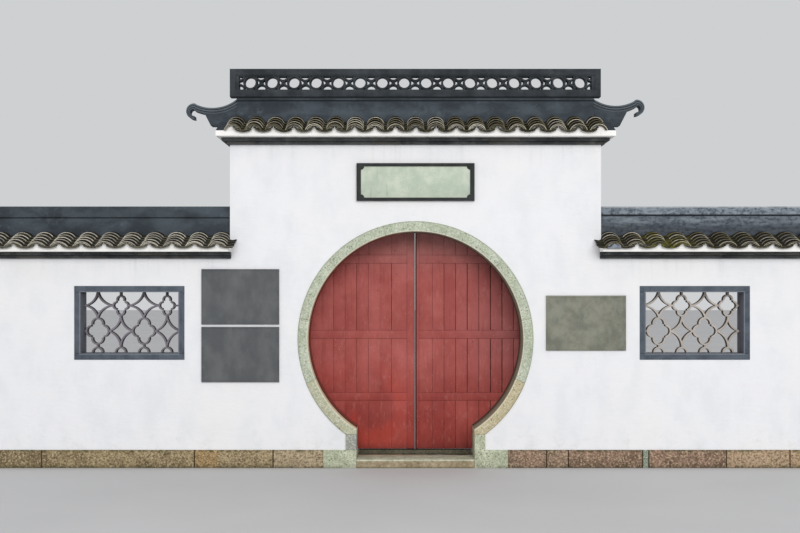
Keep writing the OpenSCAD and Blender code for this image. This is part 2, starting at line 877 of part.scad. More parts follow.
// Grooves in one face: between the planks, stopped at the battens, and along each batten
module leaf_grooves(y) {
  plank_count = floor((pivot_x - leaf_meet) / plank_w);
  battens = [batten_low_z, batten_mid_z, batten_up_z];
  stops = [for (z = battens) each [z - batten_h / 2, z + batten_h / 2]];
  ends = concat([leaf_low - over], stops, [leaf_top + over]);
  for (k = [1 : plank_count - 1], j = [0 : len(battens)])
    translate([leaf_meet + k * plank_w - groove_w / 2, y, ends[2 * j]])
      cube([groove_w, over + groove_d, ends[2 * j + 1] - ends[2 * j]]);
  for (z = stops) translate([leaf_meet - over, y, z - groove_w / 2])
    cube([pivot_x - leaf_meet, over + groove_d, groove_w]);
}

module leaf_right_half() {
  color(door_red) difference() {
    union() {
      span_box([leaf_meet, leaf_front, leaf_low], [pivot_x, leaf_front + leaf_t, leaf_top]);
      translate([pivot_x, pivot_y, leaf_low]) cylinder(h = leaf_top - leaf_low, d = leaf_t);
      translate([pivot_x, pivot_y, leaf_low - pin_l]) cylinder(h = pin_l + over, d = pin_d);
      translate([pivot_x, pivot_y, leaf_top - over]) cylinder(h = pin_l + over, d = pin_d);
    }
    leaf_grooves(leaf_front - over);
    leaf_grooves(leaf_front + leaf_t - groove_d);
  }
}
module door_leaf_left() on_side(-1) leaf_right_half();
module door_leaf_right() leaf_right_half();

// Sockets are blind, so a pin's end rests just clear of the bottom
module pin_socket(low_z, high_z) {
  for (x = [-pivot_x, pivot_x]) translate([x, pivot_y, low_z])
    cylinder(h = high_z - low_z, d = pin_d + 2 * pin_clear);
}

module door_head_beam() {
  color("#6b2f2a") difference() {
    span_box([-pivot_x - pivot_stone_l / 2, back_y, beam_low],
      [pivot_x + pivot_stone_l / 2, back_y + beam_d, beam_low + beam_h]);
    pin_socket(beam_low - over, leaf_top + pin_l + pin_end);
  }
}

module pivot_stones() {
  color("#9aa093") difference() {
    for (side = [-1, 1]) on_side(side)
      span_box([pivot_x - pivot_stone_l / 2, back_y + plinth_proud, 0],
        [pivot_x + pivot_stone_l / 2, back_y + beam_d, stone_top]);
    pin_socket(leaf_low - pin_l - pin_end, stone_top + over);
  }
}

plinth_left();
plinth_right();
foot_stone_left();
foot_stone_right();
neck_stone_left();
moon_ring();
ring_base_left();
ring_base_right();
front_step();
threshold();
gate_wall_left();
gate_wall_right();
gate_wall_over();
haunch_left();
haunch_right();
side_wall_left();
side_wall_right();
window_frame_left();
window_frame_right();
window_lattice_left();
window_lattice_right();
cornice_gate();
cornice_left();
cornice_right();
mortar_bed_gate();
mortar_bed_left();
mortar_bed_right();
tiles_gate();
tiles_left();
tiles_right();
ridge_gate();
ridge_left();
ridge_right();
ridge_wing_left();
ridge_wing_right();
parapet_frame();
parapet_lattice();
plaque_frame();
plaque_panel();
notice_plates();
bronze_plate();
door_leaf_left();
door_leaf_right();
door_head_beam();
pivot_stones();
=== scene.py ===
"""Looks of a Chinese garden wall with a moon gate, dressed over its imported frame.
Metres, +Z up; the front faces -Y and the leaves swing open towards +Y."""
import json
import math
import random

import bmesh
import bpy
from mathutils import Matrix, Vector


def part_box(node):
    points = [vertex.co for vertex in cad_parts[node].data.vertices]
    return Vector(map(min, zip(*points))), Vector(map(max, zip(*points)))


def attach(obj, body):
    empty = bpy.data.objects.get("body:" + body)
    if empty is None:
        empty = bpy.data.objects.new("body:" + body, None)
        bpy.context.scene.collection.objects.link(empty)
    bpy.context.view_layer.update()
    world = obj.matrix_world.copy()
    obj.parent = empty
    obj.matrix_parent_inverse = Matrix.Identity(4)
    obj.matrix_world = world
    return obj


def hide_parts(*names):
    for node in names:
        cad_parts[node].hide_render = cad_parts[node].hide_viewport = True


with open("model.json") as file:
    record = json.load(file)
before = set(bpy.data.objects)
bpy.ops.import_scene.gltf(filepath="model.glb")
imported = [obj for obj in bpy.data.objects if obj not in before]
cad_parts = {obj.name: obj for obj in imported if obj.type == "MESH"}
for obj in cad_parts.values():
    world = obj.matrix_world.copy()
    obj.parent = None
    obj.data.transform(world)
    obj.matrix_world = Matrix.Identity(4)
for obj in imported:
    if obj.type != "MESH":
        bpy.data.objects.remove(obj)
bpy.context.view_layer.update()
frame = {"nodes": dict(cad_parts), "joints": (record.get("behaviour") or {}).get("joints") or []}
nodes = frame["nodes"]


def span(node, axis):
    """Where a node starts and ends along an axis, to the millimetre."""
    return [round(corner["xyz".index(axis)], 3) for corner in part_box(node)]


def midway(node, axis):
    return round(sum(span(node, axis)) / 2, 4)


def extent(node, axis):
    low, high = span(node, axis)
    return round(high - low, 3)


# Sizes shared with the part's source, read from the frame where a node's box shows them

FRONT, BACK = span("gate_wall_over", "y")
NECK_OUT, RING_OUT = span("haunch_right", "x")
PLINTH_TOP, RING_Z = span("haunch_right", "z")
NECK_IN, FOOT_REACH = span("foot_stone_right", "x")
NECK_TOP = span("neck_stone_left", "z")[1]
RING_R = 1.005
GATE_HALF, WALL_REACH = span("side_wall_right", "x")
EAVE_Y, RIDGE_HALF = 0.37, 0.075
TILE_T = 0.015
GATE_COPING_HALF = span("tiles_gate", "x")[1]
GATE_EAVE_Z, GATE_SLOPE = span("tiles_gate", "z")[0], math.radians(23)
GATE_PITCH, GATE_ROWS = 0.186, 19
GATE_COVER_W, GATE_COVER_H = 0.158, 0.069
SIDE_EAVE_Z, SIDE_SLOPE = span("tiles_right", "z")[0], math.radians(21.4)
SIDE_PITCH, SIDE_ROWS, SIDE_FIRST = 0.207, 11, 1.815
SIDE_COVER_W, SIDE_COVER_H = 0.165, 0.057
SLOPE_RUN = EAVE_Y - RIDGE_HALF

SIDES = {"left": -1, "right": 1}

chance = random.Random(7)


def rgb(red, green, blue):
    """A colour as seen on screen, turned into scene light."""
    def linear(level):
        share = level / 255
        return share / 12.92 if share <= 0.04045 else ((share + 0.055) / 1.055) ** 2.4
    return (linear(red), linear(green), linear(blue), 1)


def placed(name, data):
    """A new object, linked into the scene."""
    thing = bpy.data.objects.new(name, data)
    bpy.context.scene.collection.objects.link(thing)
    return thing


def add_node(tree, kind, settings, inputs):
    """A node of a kind, its settings set first, then the values or links of its sockets."""
    node = tree.nodes.new(kind)
    for name, value in settings.items():
        setattr(node, name, value)
    for key, value in inputs.items():
        if isinstance(value, bpy.types.NodeSocket):
            tree.links.new(value, node.inputs[key])
        else:
            node.inputs[key].default_value = value
    return node


# Finishes


class Reading:
    """A value or colour that varies over a surface. Arithmetic on it adds Math nodes."""

    def __init__(self, finish, socket):
        self.finish = finish
        self.socket = socket

    def maths(self, operation, *values):
        return self.finish.add("ShaderNodeMath", {"operation": operation}, dict(enumerate(values)))

    def __add__(self, other):
        return self.maths("ADD", self, other)

    def __radd__(self, other):
        return self.maths("ADD", other, self)

    def __sub__(self, other):
        return self.maths("SUBTRACT", self, other)

    def __rsub__(self, other):
        return self.maths("SUBTRACT", other, self)

    def __mul__(self, other):
        return self.maths("MULTIPLY", self, other)

    def __rmul__(self, other):
        return self.maths("MULTIPLY", other, self)

    def __abs__(self):
        return self.maths("ABSOLUTE", self)

    def root(self):
        return self.maths("SQRT", self)

    def at_most(self, other):
        return self.maths("MINIMUM", self, other)

    def ramp(self, low, high):
        """0 at low, 1 at high, eased between them; low may be the larger one."""
        start, end, from_value, to_value = (low, high, 0, 1) if low < high else (high, low, 1, 0)
        return self.finish.add("ShaderNodeMapRange", {"interpolation_type": "SMOOTHSTEP"},
            {0: self, 1: start, 2: end, 3: from_value, 4: to_value})


class Finish:
    """One procedural material, on object coordinates. Its colour is built up coat by coat; the
    colours given to it are red, green and blue levels as seen on screen, or Readings."""

    def __init__(self, name, roughness, specular=0.3, metallic=0.0):
        self.material = bpy.data.materials.new(name)
        self.material.use_nodes = True
        self.tree = self.material.node_tree
        self.shader = self.tree.nodes["Principled BSDF"]
        self.shader.inputs["Roughness"].default_value = roughness
        self.shader.inputs["Specular IOR Level"].default_value = specular
        self.shader.inputs["Metallic"].default_value = metallic
        self.colour = None
        self.normal = None
        self.place = self.add("ShaderNodeTexCoord", {}, {}, "Object")
        axes = add_node(self.tree, "ShaderNodeSeparateXYZ", {}, {0: self.place.socket}).outputs
        self.x, self.y, self.z = (Reading(self, axis) for axis in axes)

    def add(self, kind, settings, inputs, output=0):
        sockets = {key: getattr(value, "socket", value) for key, value in inputs.items()}
        return Reading(self, add_node(self.tree, kind, settings, sockets).outputs[output])

    def spot(self, stretch, seed):
        return self.add("ShaderNodeMapping", {},
            {"Vector": self.place, "Location": (seed * 3.1, seed * 1.7, seed * 2.3), "Scale": stretch})

    def noise(self, scale, detail=4, roughness=0.6, stretch=(1, 1, 1), seed=0, twist=0.0):
        return self.add("ShaderNodeTexNoise", {}, {"Vector": self.spot(stretch, seed),
            "Scale": scale, "Detail": detail, "Roughness": roughness, "Distortion": twist})

    def cells(self, scale, stretch=(1, 1, 1), seed=0):
        """How far each spot is from the middle of its own cell."""
        return self.add("ShaderNodeTexVoronoi", {}, {"Vector": self.spot(stretch, seed), "Scale": scale})

    def note(self, name):
        """A number painted on the piece's points."""
        return self.add("ShaderNodeAttribute", {"attribute_name": name}, {}, "Fac")

    def blend(self, share, below, above):
        below, above = (rgb(*each) if isinstance(each, tuple) else each for each in (below, above))
        return self.add("ShaderNodeMix", {"data_type": "RGBA"}, {0: share, 6: below, 7: above}, 2)

    def base(self, share, below, above):
        """The first coat."""
        self.colour = self.blend(share, below, above)

    def coat(self, share, above):
        """One more coat, over a share of what is there."""
        self.colour = self.blend(share, self.colour, above)

    def relief(self, height, depth):
        inputs = {"Strength": 1.0, "Distance": depth, "Height": height}
        if self.normal:
            inputs["Normal"] = self.normal
        self.normal = self.add("ShaderNodeBump", {}, inputs)

    def done(self, roughness=None):
        given = {"Base Color": self.colour, "Roughness": roughness, "Normal": self.normal}
        for name, value in given.items():
            if value:
                self.tree.links.new(value.socket, self.shader.inputs[name])
        return self.material


def white_render():
    """Limewashed render: soft trowel waves, grey wash, splashes near the plinth, drips under eaves."""
    f = Finish("white_render", 0.9, 0.2)
    wave = f.noise(1.6, 3, 0.5, seed=1)
    wash = f.noise(5.5, 5, stretch=(1, 1, 0.6), seed=2)
    grain = f.noise(260, 2, seed=3)
    trowel = f.noise(9, 4, 0.5, stretch=(1, 1, 2.6), seed=4, twist=0.8)
    f.base(wash.ramp(0.38, 0.72), (236, 236, 238), (229, 230, 232))
    f.coat(wave.ramp(0.45, 0.7) * 0.55, (238, 237, 236))
    drip = f.noise(22, 3, stretch=(1, 1, 0.05), seed=5)
    beside = abs(f.x).ramp(GATE_HALF - 0.01, GATE_HALF + 0.03)
    under_gate = f.z.ramp(GATE_CORNICE_Z - 0.292, GATE_CORNICE_Z + 0.008) * (1 - beside)
    under_side = f.z.ramp(SIDE_CORNICE_Z - 0.251, SIDE_CORNICE_Z + 0.009) * beside
    f.coat(drip.ramp(0.5, 0.8) * (under_gate + under_side).at_most(1) * 0.2, (176, 176, 174))
    splash = f.noise(14, 5, 0.65, seed=6)
    low = f.z.ramp(PLINTH_TOP + 0.332, PLINTH_TOP + 0.002)
    f.coat(splash.ramp(0.5, 0.8) * low * 0.3, (196, 192, 182))
    speck = f.cells(26, seed=7).ramp(0.07, 0.03) * f.noise(3, 2, 0.55, seed=8).ramp(0.55, 0.75)
    f.coat(speck * low * 0.8, (128, 122, 110))
    f.relief(wave * 0.6 + trowel * 0.4, 0.006)
    f.relief(grain, 0.0006)
    return f.done()


def speckled_stone(name, pale, deep, tan, speck_colour, speck_share=1.0):
    """Pecked granite with dark specks. The tone on each stone turns it from tan to pale."""
    f = Finish(name, 0.82, 0.25)
    tone = f.note("tone")
    cloud = f.noise(7, seed=1)
    pecks = f.cells(150, seed=2)
    f.base(cloud.ramp(0.35, 0.7), deep, pale)
    f.coat(tone.ramp(0.45, 0.1), tan)
    blotch = f.noise(78, 4, 0.7, seed=7)
    f.coat(blotch.ramp(0.5, 0.62) * 0.5 * speck_share, speck_colour)
    f.coat(blotch.ramp(0.48, 0.38) * 0.5, (228, 232, 218))
    grit = f.noise(160, 3, 0.7, seed=4)
    f.coat(grit.ramp(0.54, 0.64) * 0.7 * speck_share, speck_colour)
    speck = f.cells(38, seed=5).ramp(0.3, 0.16) * f.noise(30, 2, 0.55, seed=6).ramp(0.42, 0.54)
    f.coat(speck * 0.8 * speck_share, (80, 80, 66))
    f.relief(pecks, 0.0016)
    f.relief(blotch, 0.002)
    return f


def ring_stone():
    f = speckled_stone("ring_stone", (202, 208, 188), (180, 188, 166),
        (199, 184, 148), (126, 132, 108), 0.85)
    cloud = f.noise(7, seed=1)
    up = f.z - RING_Z
    reach = (f.x * f.x + up * up).root()
    inside = reach.ramp(RING_R + 0.003, RING_R + 0.001) * f.y.ramp(FRONT + 0.004, FRONT + 0.02)
    stain = f.noise(16, seed=8).ramp(0.2, 0.65)
    f.coat(inside * (0.7 + stain * 0.25), (134, 130, 112))
    # Painted shade: the reveal darkens towards the back, where the leaves stand deep in the ring.
    f.coat(inside * f.y.ramp(0.0, 0.14) * 0.8, (52, 46, 38))
    # A cream painted highlight over the front of the left reveal.
    left = inside * f.x.ramp(0.0, -0.45)
    f.coat(left * 0.85, (232, 204, 168))
    # A dark painted shadow line behind it, on the left reveal.
    f.coat(left * f.y.ramp(FRONT + 0.1, FRONT + 0.13) * 0.92, (58, 30, 26))
    # A red painted reflection of the leaves deep on the left reveal, varied by the same noise as the
    # brown stain.
    red = left * f.y.ramp(FRONT + 0.21, FRONT + 0.25)
    f.coat(red * (0.7 + stain * 0.25), (160, 74, 66))
    # A pale painted highlight along the inner front arris.
    edge = reach.ramp(RING_R + 0.014, RING_R + 0.008) * f.y.ramp(FRONT + 0.012, FRONT + 0.004)
    f.coat(edge * 0.5, (226, 222, 202))
    # Painted shade along the outer edge, where the ring meets the render.
    outer = reach.ramp(RING_OUT - 0.014, RING_OUT - 0.003)
    f.coat(outer * (0.35 + 0.5 * cloud.ramp(0.4, 0.7)), (122, 126, 106))
    return f.done()


def pale_green_stone():
    f = speckled_stone("pale_green_stone", (204, 208, 182), (172, 178, 150),
        (190, 180, 150), (124, 128, 102))
    # Grime near the ground.
    darkening = f.z.ramp(0.05, 0.0) * f.noise(18, seed=9).ramp(0.3, 0.7)
    f.coat(darkening * 0.7, (104, 100, 80))
    return f.done()


def plinth_stone():
    """Weathered sandstone blocks: olive-brown on the left, reddish-brown on the right, mossy tops."""
    f = Finish("plinth_stone", 0.92, 0.15)
    tone = f.note("tone")
    cloud = f.noise(9, 5, 0.65, seed=1)
    blotch = f.noise(24, 5, seed=2)
    crumb = f.noise(52, 4, 0.7, seed=6)
    fine = f.noise(190, 3, 0.7, seed=3)
    left = f.blend(cloud.ramp(0.3, 0.7), (122, 106, 78), (166, 148, 114))
    joint_x = -PLINTH_JOINTS["left"][2]
    rust = f.x.ramp(joint_x + 0.26, joint_x + 0.19) * f.x.ramp(joint_x - 0.01, joint_x + 0.01)
    left = f.blend(rust * 0.55, left, (170, 132, 80))
    right = f.blend(cloud.ramp(0.3, 0.7), (116, 92, 78), (164, 134, 116))
    pink = f.noise(12, seed=8)
    right = f.blend(pink.ramp(0.56, 0.68) * 0.6, right, (186, 146, 130))
    # Warmer tan at the right end: partly the stone's own colour, partly painted sunlight.
    right = f.blend(f.x.ramp(2.88, 2.9) * 0.4, right, (190, 150, 104))
    f.base(f.x.ramp(-0.2, 0.2), left, right)
    f.coat(tone.ramp(0.45, 0.9) * 0.6, (188, 170, 144))
    f.coat(tone.ramp(0.4, 0.0) * 0.45, (98, 84, 64))
    f.coat(blotch.ramp(0.52, 0.72) * 0.6, (82, 74, 54))
    f.coat(crumb.ramp(0.52, 0.6) * 0.72, (78, 66, 48))
    f.coat(crumb.ramp(0.47, 0.38) * 0.62, (206, 188, 156))
    f.coat(fine.ramp(0.56, 0.72) * 0.3, (186, 174, 146))
    moss = f.z.ramp(PLINTH_TOP - 0.03, PLINTH_TOP - 0.004) * f.noise(30, 5, 0.7, seed=4).ramp(0.42, 0.6)
    f.coat(moss * 0.85, (70, 74, 38))
    foot = f.z.ramp(0.045, 0.0) * f.noise(22, 4, 0.7, seed=5).ramp(0.3, 0.62)
    f.coat(foot * 0.7, (64, 66, 40))
    f.relief(blotch, 0.006)
    f.relief(crumb, 0.004)
    f.relief(fine, 0.0016)
    return f.done()


def step_stone():
    """The step: a worn brown-beige front, a pale green-grey tread, dark brown-olive painted shade at the
    back of the tread, under the leaves, and near-black painted shade on the threshold's top."""
    f = Finish("step_stone", 0.85, 0.2)
    cloud = f.noise(10, 5, seed=1)
    crumb = f.noise(48, 4, 0.7, seed=4)
    fine = f.noise(240, 3, 0.7, seed=2)
    streak = f.noise(20, stretch=(0.25, 1, 1), seed=3)
    front = f.blend(cloud.ramp(0.35, 0.7), (140, 124, 98), (176, 160, 132))
    tread = f.blend(cloud.ramp(0.3, 0.7), (176, 184, 160), (212, 216, 194))
    top, sill = span("front_step", "z")[1], span("threshold", "z")[1]
    f.base(f.z.ramp(top - 0.016, top - 0.008), front, tread)
    f.coat(streak.ramp(0.5, 0.75) * 0.35, (112, 100, 76))
    f.coat(crumb.ramp(0.52, 0.66) * 0.55, (98, 92, 70))
    f.coat(crumb.ramp(0.46, 0.34) * 0.5, (206, 202, 178))
    ragged = f.y + 0.1 * (f.noise(14, seed=5) - 0.5) + 0.02 * f.x
    # Painted shade: the back of the tread, under the leaves, darkened brown-olive.
    darkening = ragged.ramp(0.085, 0.125)
    under_leaf_shade = f.blend(crumb.ramp(0.4, 0.66), (50, 43, 32), (98, 88, 66))
    rim = ragged.ramp(0.06, 0.08) * ragged.ramp(0.12, 0.09) * f.x.ramp(0.25, -0.1)
    f.coat(rim * 0.6, (214, 186, 152))
    f.coat(darkening * 0.92, under_leaf_shade)
    f.coat(fine.ramp(0.55, 0.7) * 0.2, (192, 184, 156))
    # Near-black painted shade on the threshold's top, in the gap under the leaves.
    f.coat(f.z.ramp(sill - 0.006, sill - 0.001) * 0.95, (14, 11, 8))
    f.coat(f.z.ramp(0.02, 0.0) * 0.6, (84, 78, 54))
    f.relief(cloud, 0.003)
    f.relief(crumb, 0.003)
    f.relief(fine, 0.001)
    return f.done()


def frame_stone():
    f = Finish("frame_stone", 0.78, 0.3)
    tone = f.note("tone")
    cloud = f.noise(11, seed=1)
    fine = f.noise(300, 3, 0.7, seed=2)
    f.base(cloud.ramp(0.3, 0.7), (62, 70, 80), (88, 96, 106))
    f.coat(tone * 0.3, (100, 108, 116))
    # Painted light: the reveals, set back from the front, painted paler.
    reveal_light = f.y.ramp(FRONT, FRONT + 0.012)
    f.coat(reveal_light * 0.55, (120, 120, 128))
    up = abs(f.z - WINDOW_Z)
    left_x, right_x = WINDOWS["left"][0], WINDOWS["right"][0]
    across = abs(abs(f.x - (left_x + right_x) / 2) - (right_x - left_x) / 2)
    high = up.ramp(OPEN_H / 2 + 0.013, OPEN_H / 2 + 0.006)
    wide = across.ramp(OPEN_W / 2 + 0.014, OPEN_W / 2 + 0.007)
    # A pale painted highlight on the front arrises round the opening.
    arris = high * wide * f.y.ramp(FRONT + 0.01, FRONT)
    f.coat(arris * 0.45, (146, 150, 158))
    f.coat(fine.ramp(0.52, 0.7) * 0.4, (118, 124, 130))
    streak = f.noise(30, 3, stretch=(1, 1, 0.12), seed=3)
    f.coat(streak.ramp(0.55, 0.8) * 0.5, (48, 54, 60))
    f.relief(cloud, 0.002)
    f.relief(fine, 0.0008)
    return f.done()


def lattice_clay():
    """Grey fired clay; the left lattice is darker, the right one paler. The tiles' front faces carry a
    painted highlight, lighter than their sides, palest on the right.
    """
    f = Finish("lattice_clay", 0.88, 0.2)
    tone = f.note("tone")
    cloud = f.noise(24, seed=1)
    fine = f.noise(320, 3, 0.7, seed=2)
    side = f.x.ramp(-0.2, 0.2)
    dark = f.blend(cloud.ramp(0.3, 0.7), (48, 48, 52), (80, 80, 86))
    pale = f.blend(cloud.ramp(0.3, 0.7), (66, 64, 62), (104, 100, 96))
    f.base(side, dark, pale)
    # Painted highlight: the front faces lighter than the sides.
    face = abs(f.y).ramp(LATTICE_HALF - 0.011, LATTICE_HALF - 0.004)
    edge = f.blend(side, (146, 140, 148), (204, 194, 184))
    f.coat(face * (0.75 + 0.15 * side), edge)
    f.coat(tone * 0.2, (96, 92, 88))
    f.relief(fine, 0.0008)
    return f.done()


def cornice_brick():
    f = Finish("cornice_brick", 0.88, 0.2)
    tone = f.note("tone")
    cloud = f.noise(9, stretch=(0.5, 1, 1), seed=1)
    fine = f.noise(240, 3, 0.7, seed=2)
    f.base(cloud.ramp(0.3, 0.7), (52, 54, 56), (86, 88, 88))
    f.coat(tone.ramp(0.6, 1.0) * 0.4, (98, 94, 86))
    wash = f.noise(7, seed=3).ramp(0.56, 0.72)
    f.coat(wash * 0.35, (120, 120, 116))
    f.relief(fine, 0.001)
    return f.done()


def white_mortar(name, eave_z, slope):
    """The white fascia under the tiles, stained below the troughs' ends; dark painted shade where tiles
    lie on it.
    """
    f = Finish(name, 0.92, 0.15)
    cloud = f.noise(12, 5, seed=1)
    stain = f.noise(26, stretch=(1, 1, 0.3), seed=2)
    fine = f.noise(220, 3, 0.7, seed=3)
    f.base(cloud.ramp(0.35, 0.7), (244, 242, 238), (252, 251, 248))
    f.coat(stain.ramp(0.6, 0.8) * 0.3, (168, 160, 146))
    above = f.z - eave_z - math.tan(slope) * (EAVE_Y - abs(f.y))
    # Painted shade where the tiles lie on the bed.
    under_tiles_shade = abs(f.y).ramp(EAVE_Y - 0.024, EAVE_Y - 0.027) * above.ramp(-0.006, -0.003)
    verge = abs(f.x).ramp(GATE_HALF + 0.01, GATE_HALF + 0.03)
    f.coat(under_tiles_shade, f.blend(verge, (40, 38, 30), (56, 62, 69)))
    f.relief(cloud, 0.004)
    f.relief(fine, 0.001)
    return f.done()


def grey_mortar():
    f = Finish("grey_mortar", 0.9, 0.15)
    cloud = f.noise(30, seed=1)
    f.base(cloud.ramp(0.3, 0.7), (104, 112, 122), (142, 148, 156))
    f.relief(cloud, 0.003)
    return f.done()


def roof_clay():
    """Small grey-brown tiles: a beige rim on each lower edge, dark painted shade and moss in the troughs.
    """
    f = Finish("roof_clay", 0.86, 0.2)
    tone = f.note("tone")
    left = f.x.ramp(-1.6, -1.8)
    rim = (f.note("rim") * (1 + left * 0.25)).ramp(0.62, 0.8)
    trough = f.note("trough")
    cloud = f.noise(20, 5, 0.65, seed=1)
    fine = f.noise(260, 3, 0.7, seed=2)
    patch = f.noise(2.6, 3, seed=5)
    f.base(cloud.ramp(0.3, 0.7), (18, 16, 13), (44, 40, 31))
    f.coat(tone.ramp(0.7, 1.0) * 0.35, (84, 78, 62))
    lichen = f.noise(46, 5, 0.7, seed=3)
    f.coat(lichen.ramp(0.6, 0.72) * 0.5, (92, 88, 48))
    worn = f.blend((0.7 * tone + 0.3 * cloud).ramp(0.3, 0.95), (124, 116, 90), (244, 236, 214))
    worn = f.blend(left * 0.5, worn, (240, 234, 220))
    f.coat(rim * (1 - 0.6 * trough) * (0.55 + lichen.ramp(0.3, 0.6) * 0.45), worn)
    sooty = patch.ramp(0.5, 0.66) * tone.ramp(0.3, 0.7)
    f.coat(sooty * 0.55, (52, 54, 54))
    moss = f.noise(36, 5, 0.7, seed=4).ramp(0.4, 0.62)
    # Painted shade darkens the troughs, deeper where moss grows.
    f.coat(trough * (0.68 - 0.3 * rim + moss * 0.3), (24, 25, 14))
    f.coat(trough * rim * lichen.ramp(0.5, 0.62) * 0.7, (98, 98, 56))
    green = f.x.ramp(2.05, 2.2) * f.x.ramp(2.62, 2.5)
    growth = green * f.z.ramp(2.5, 2.3) * f.noise(24, 4, 0.7, seed=6).ramp(0.46, 0.6)
    f.coat(growth * 0.75, (112, 108, 34))
    f.relief(cloud, 0.003)
    f.relief(fine, 0.0012)
    return f.done()


def ridge_render():
    """Dark slate-blue render with lighter blotches; the right-hand ridge is paler and streaked, its
    paleness partly weathering and partly a painted reflection of the sky. Painted highlights and painted
    shade pick out the mouldings.
    """
    f = Finish("ridge_render", 0.8, 0.3)
    cloud = f.noise(4.5, stretch=(0.7, 1, 1.3), seed=1)
    blotch = f.noise(11, 5, 0.62, seed=2)
    mottle = f.noise(38, 4, 0.7, stretch=(0.6, 1, 1), seed=6)
    fine = f.noise(240, 3, 0.7, seed=3)
    f.base(cloud.ramp(0.35, 0.68), (49, 56, 62), (73, 82, 89))
    f.coat(blotch.ramp(0.56, 0.74) * 0.45, (94, 104, 112))
    f.coat(mottle.ramp(0.55, 0.7) * 0.3, (36, 41, 46))
    top = span("ridge_right", "z")[1]
    # The right-hand ridge paler: partly weathering, partly a painted reflection of the sky.
    right = f.x.ramp(GATE_HALF - 0.03, GATE_HALF + 0.05) * f.z.ramp(top + 0.056, top + 0.016)
    cap = f.z.ramp(top - 0.089, top - 0.072)
    pale = f.blend(mottle.ramp(0.32, 0.62), (66, 76, 86), (146, 155, 164))
    # A painted highlight along the top of the cap.
    pale = f.blend(cap * f.z.ramp(top - 0.019, top - 0.004) * 0.6, pale, (196, 200, 200))
    f.coat(right * (0.5 + 0.4 * cap), pale)
    run = f.noise(10, 4, 0.65, stretch=(0.35, 1, 2.4), seed=7)
    f.coat(right * run.ramp(0.52, 0.66) * 0.4, (150, 160, 168))
    f.coat(right * run.ramp(0.47, 0.36) * 0.4, (56, 64, 74))
    # Painted shade: darker towards the bottom of the right-hand ridge.
    f.coat(right * f.z.ramp(top - 0.124, top - 0.204) * 0.6, (42, 48, 56))
    # Painted shade in the groove under the cap.
    groove = abs(f.z - top + 0.0845).ramp(0.009, 0.006) * right
    f.coat(groove * 0.85, (22, 26, 32))
    streak = f.noise(34, 3, stretch=(1, 1, 0.1), seed=4)
    f.coat(streak.ramp(0.55, 0.78) * (0.2 + right * 0.25), (38, 42, 46))
    moss = f.noise(28, 5, 0.7, seed=5).ramp(0.58, 0.68)
    f.coat(moss * right * f.x.ramp(2.3, 2.0) * 0.6, (92, 88, 62))
    # On the wings' strips: the proud ones painted lighter, a painted highlight, the sunk ones dark,
    # painted shade.
    band = f.note("tone")
    f.coat(band.ramp(0.6, 1.0) * 0.45, (116, 124, 130))
    f.coat(band.ramp(0.4, 0.0) * 0.85, (22, 25, 29))
    # Dark painted shade lines on the middle ridge: in its moulding and in the neck under the parapet.
    middle = abs(f.x).ramp(RIDGE_REACH + 0.02, RIDGE_REACH)
    line = abs(f.z - RIDGE_TOP + 0.0215).ramp(0.007, 0.004)
    shade_lines = line + f.z.ramp(RIDGE_TOP - 0.002, RIDGE_TOP + 0.002)
    f.coat(middle * shade_lines.at_most(1) * 0.85, (24, 27, 31))
    f.relief(blotch, 0.003)
    f.relief(fine, 0.0008)
    return f.done()


def parapet_paint():
    f = Finish("parapet_paint", 0.8, 0.3)
    tone = f.note("tone")
    cloud = f.noise(7, seed=1)
    fine = f.noise(260, 3, 0.7, seed=2)
    f.base(cloud.ramp(0.35, 0.7), (37, 42, 46), (58, 63, 67))
    f.coat(tone.ramp(0.6, 1.0) * 0.3, (80, 83, 83))
    dust = f.noise(40, 4, 0.7, seed=3)
    f.coat(dust.ramp(0.6, 0.75) * 0.45, (96, 98, 96))
    f.relief(fine, 0.001)
    return f.done()


def plaque_stone():
    """The plaque's pale green face, pecked all over."""
    f = Finish("plaque_stone", 0.8, 0.25)
    cloud = f.noise(6, seed=1)
    pecks = f.cells(120, seed=2)
    fine = f.noise(300, 2, 0.7, seed=3)
    f.base(cloud.ramp(0.35, 0.7), (184, 196, 178), (208, 215, 198))
    f.coat(pecks.ramp(0.22, 0.08) * 0.55, (136, 152, 130))
    speck = f.cells(30, seed=4).ramp(0.12, 0.05)
    f.coat(speck * 0.7, (84, 92, 80))
    drip = f.noise(40, 3, stretch=(1, 1, 0.08), seed=5)
    f.coat(drip.ramp(0.62, 0.8) * 0.4, (120, 134, 116))
    f.relief(pecks, 0.0022)
    f.relief(fine, 0.0008)
    return f.done()


def dark_slate(name, low, high, roughness):
    f = Finish(name, roughness, 0.4)
    cloud = f.noise(6, stretch=(1, 1, 0.6), seed=1)
    fine = f.noise(320, 3, 0.7, seed=2)
    f.base(cloud.ramp(0.35, 0.7), low, high)
    dust = f.noise(22, 5, 0.65, seed=3)
    f.coat(dust.ramp(0.58, 0.78) * 0.15, (120, 122, 124))
    f.relief(fine, 0.0005)
    return f.done(roughness - 0.1 + 0.25 * dust)


def bronze():
    """Dull bronze with an olive-brown patina and green in the hollows."""
    f = Finish("bronze", 0.55, 0.5, metallic=0.35)
    cloud = f.noise(9, 5, 0.65, seed=1)
    fine = f.noise(200, 3, 0.7, seed=2)
    streak = f.noise(40, stretch=(1, 1, 0.2), seed=3)
    f.base(cloud.ramp(0.3, 0.7), (104, 105, 93), (137, 137, 122))
    f.coat(streak.ramp(0.5, 0.75) * 0.45, (122, 132, 126))
    f.coat(fine.ramp(0.55, 0.7) * 0.4, (158, 155, 140))
    f.relief(fine, 0.0012)
    f.relief(streak, 0.0012)
    return f.done(0.42 + 0.3 * cloud)


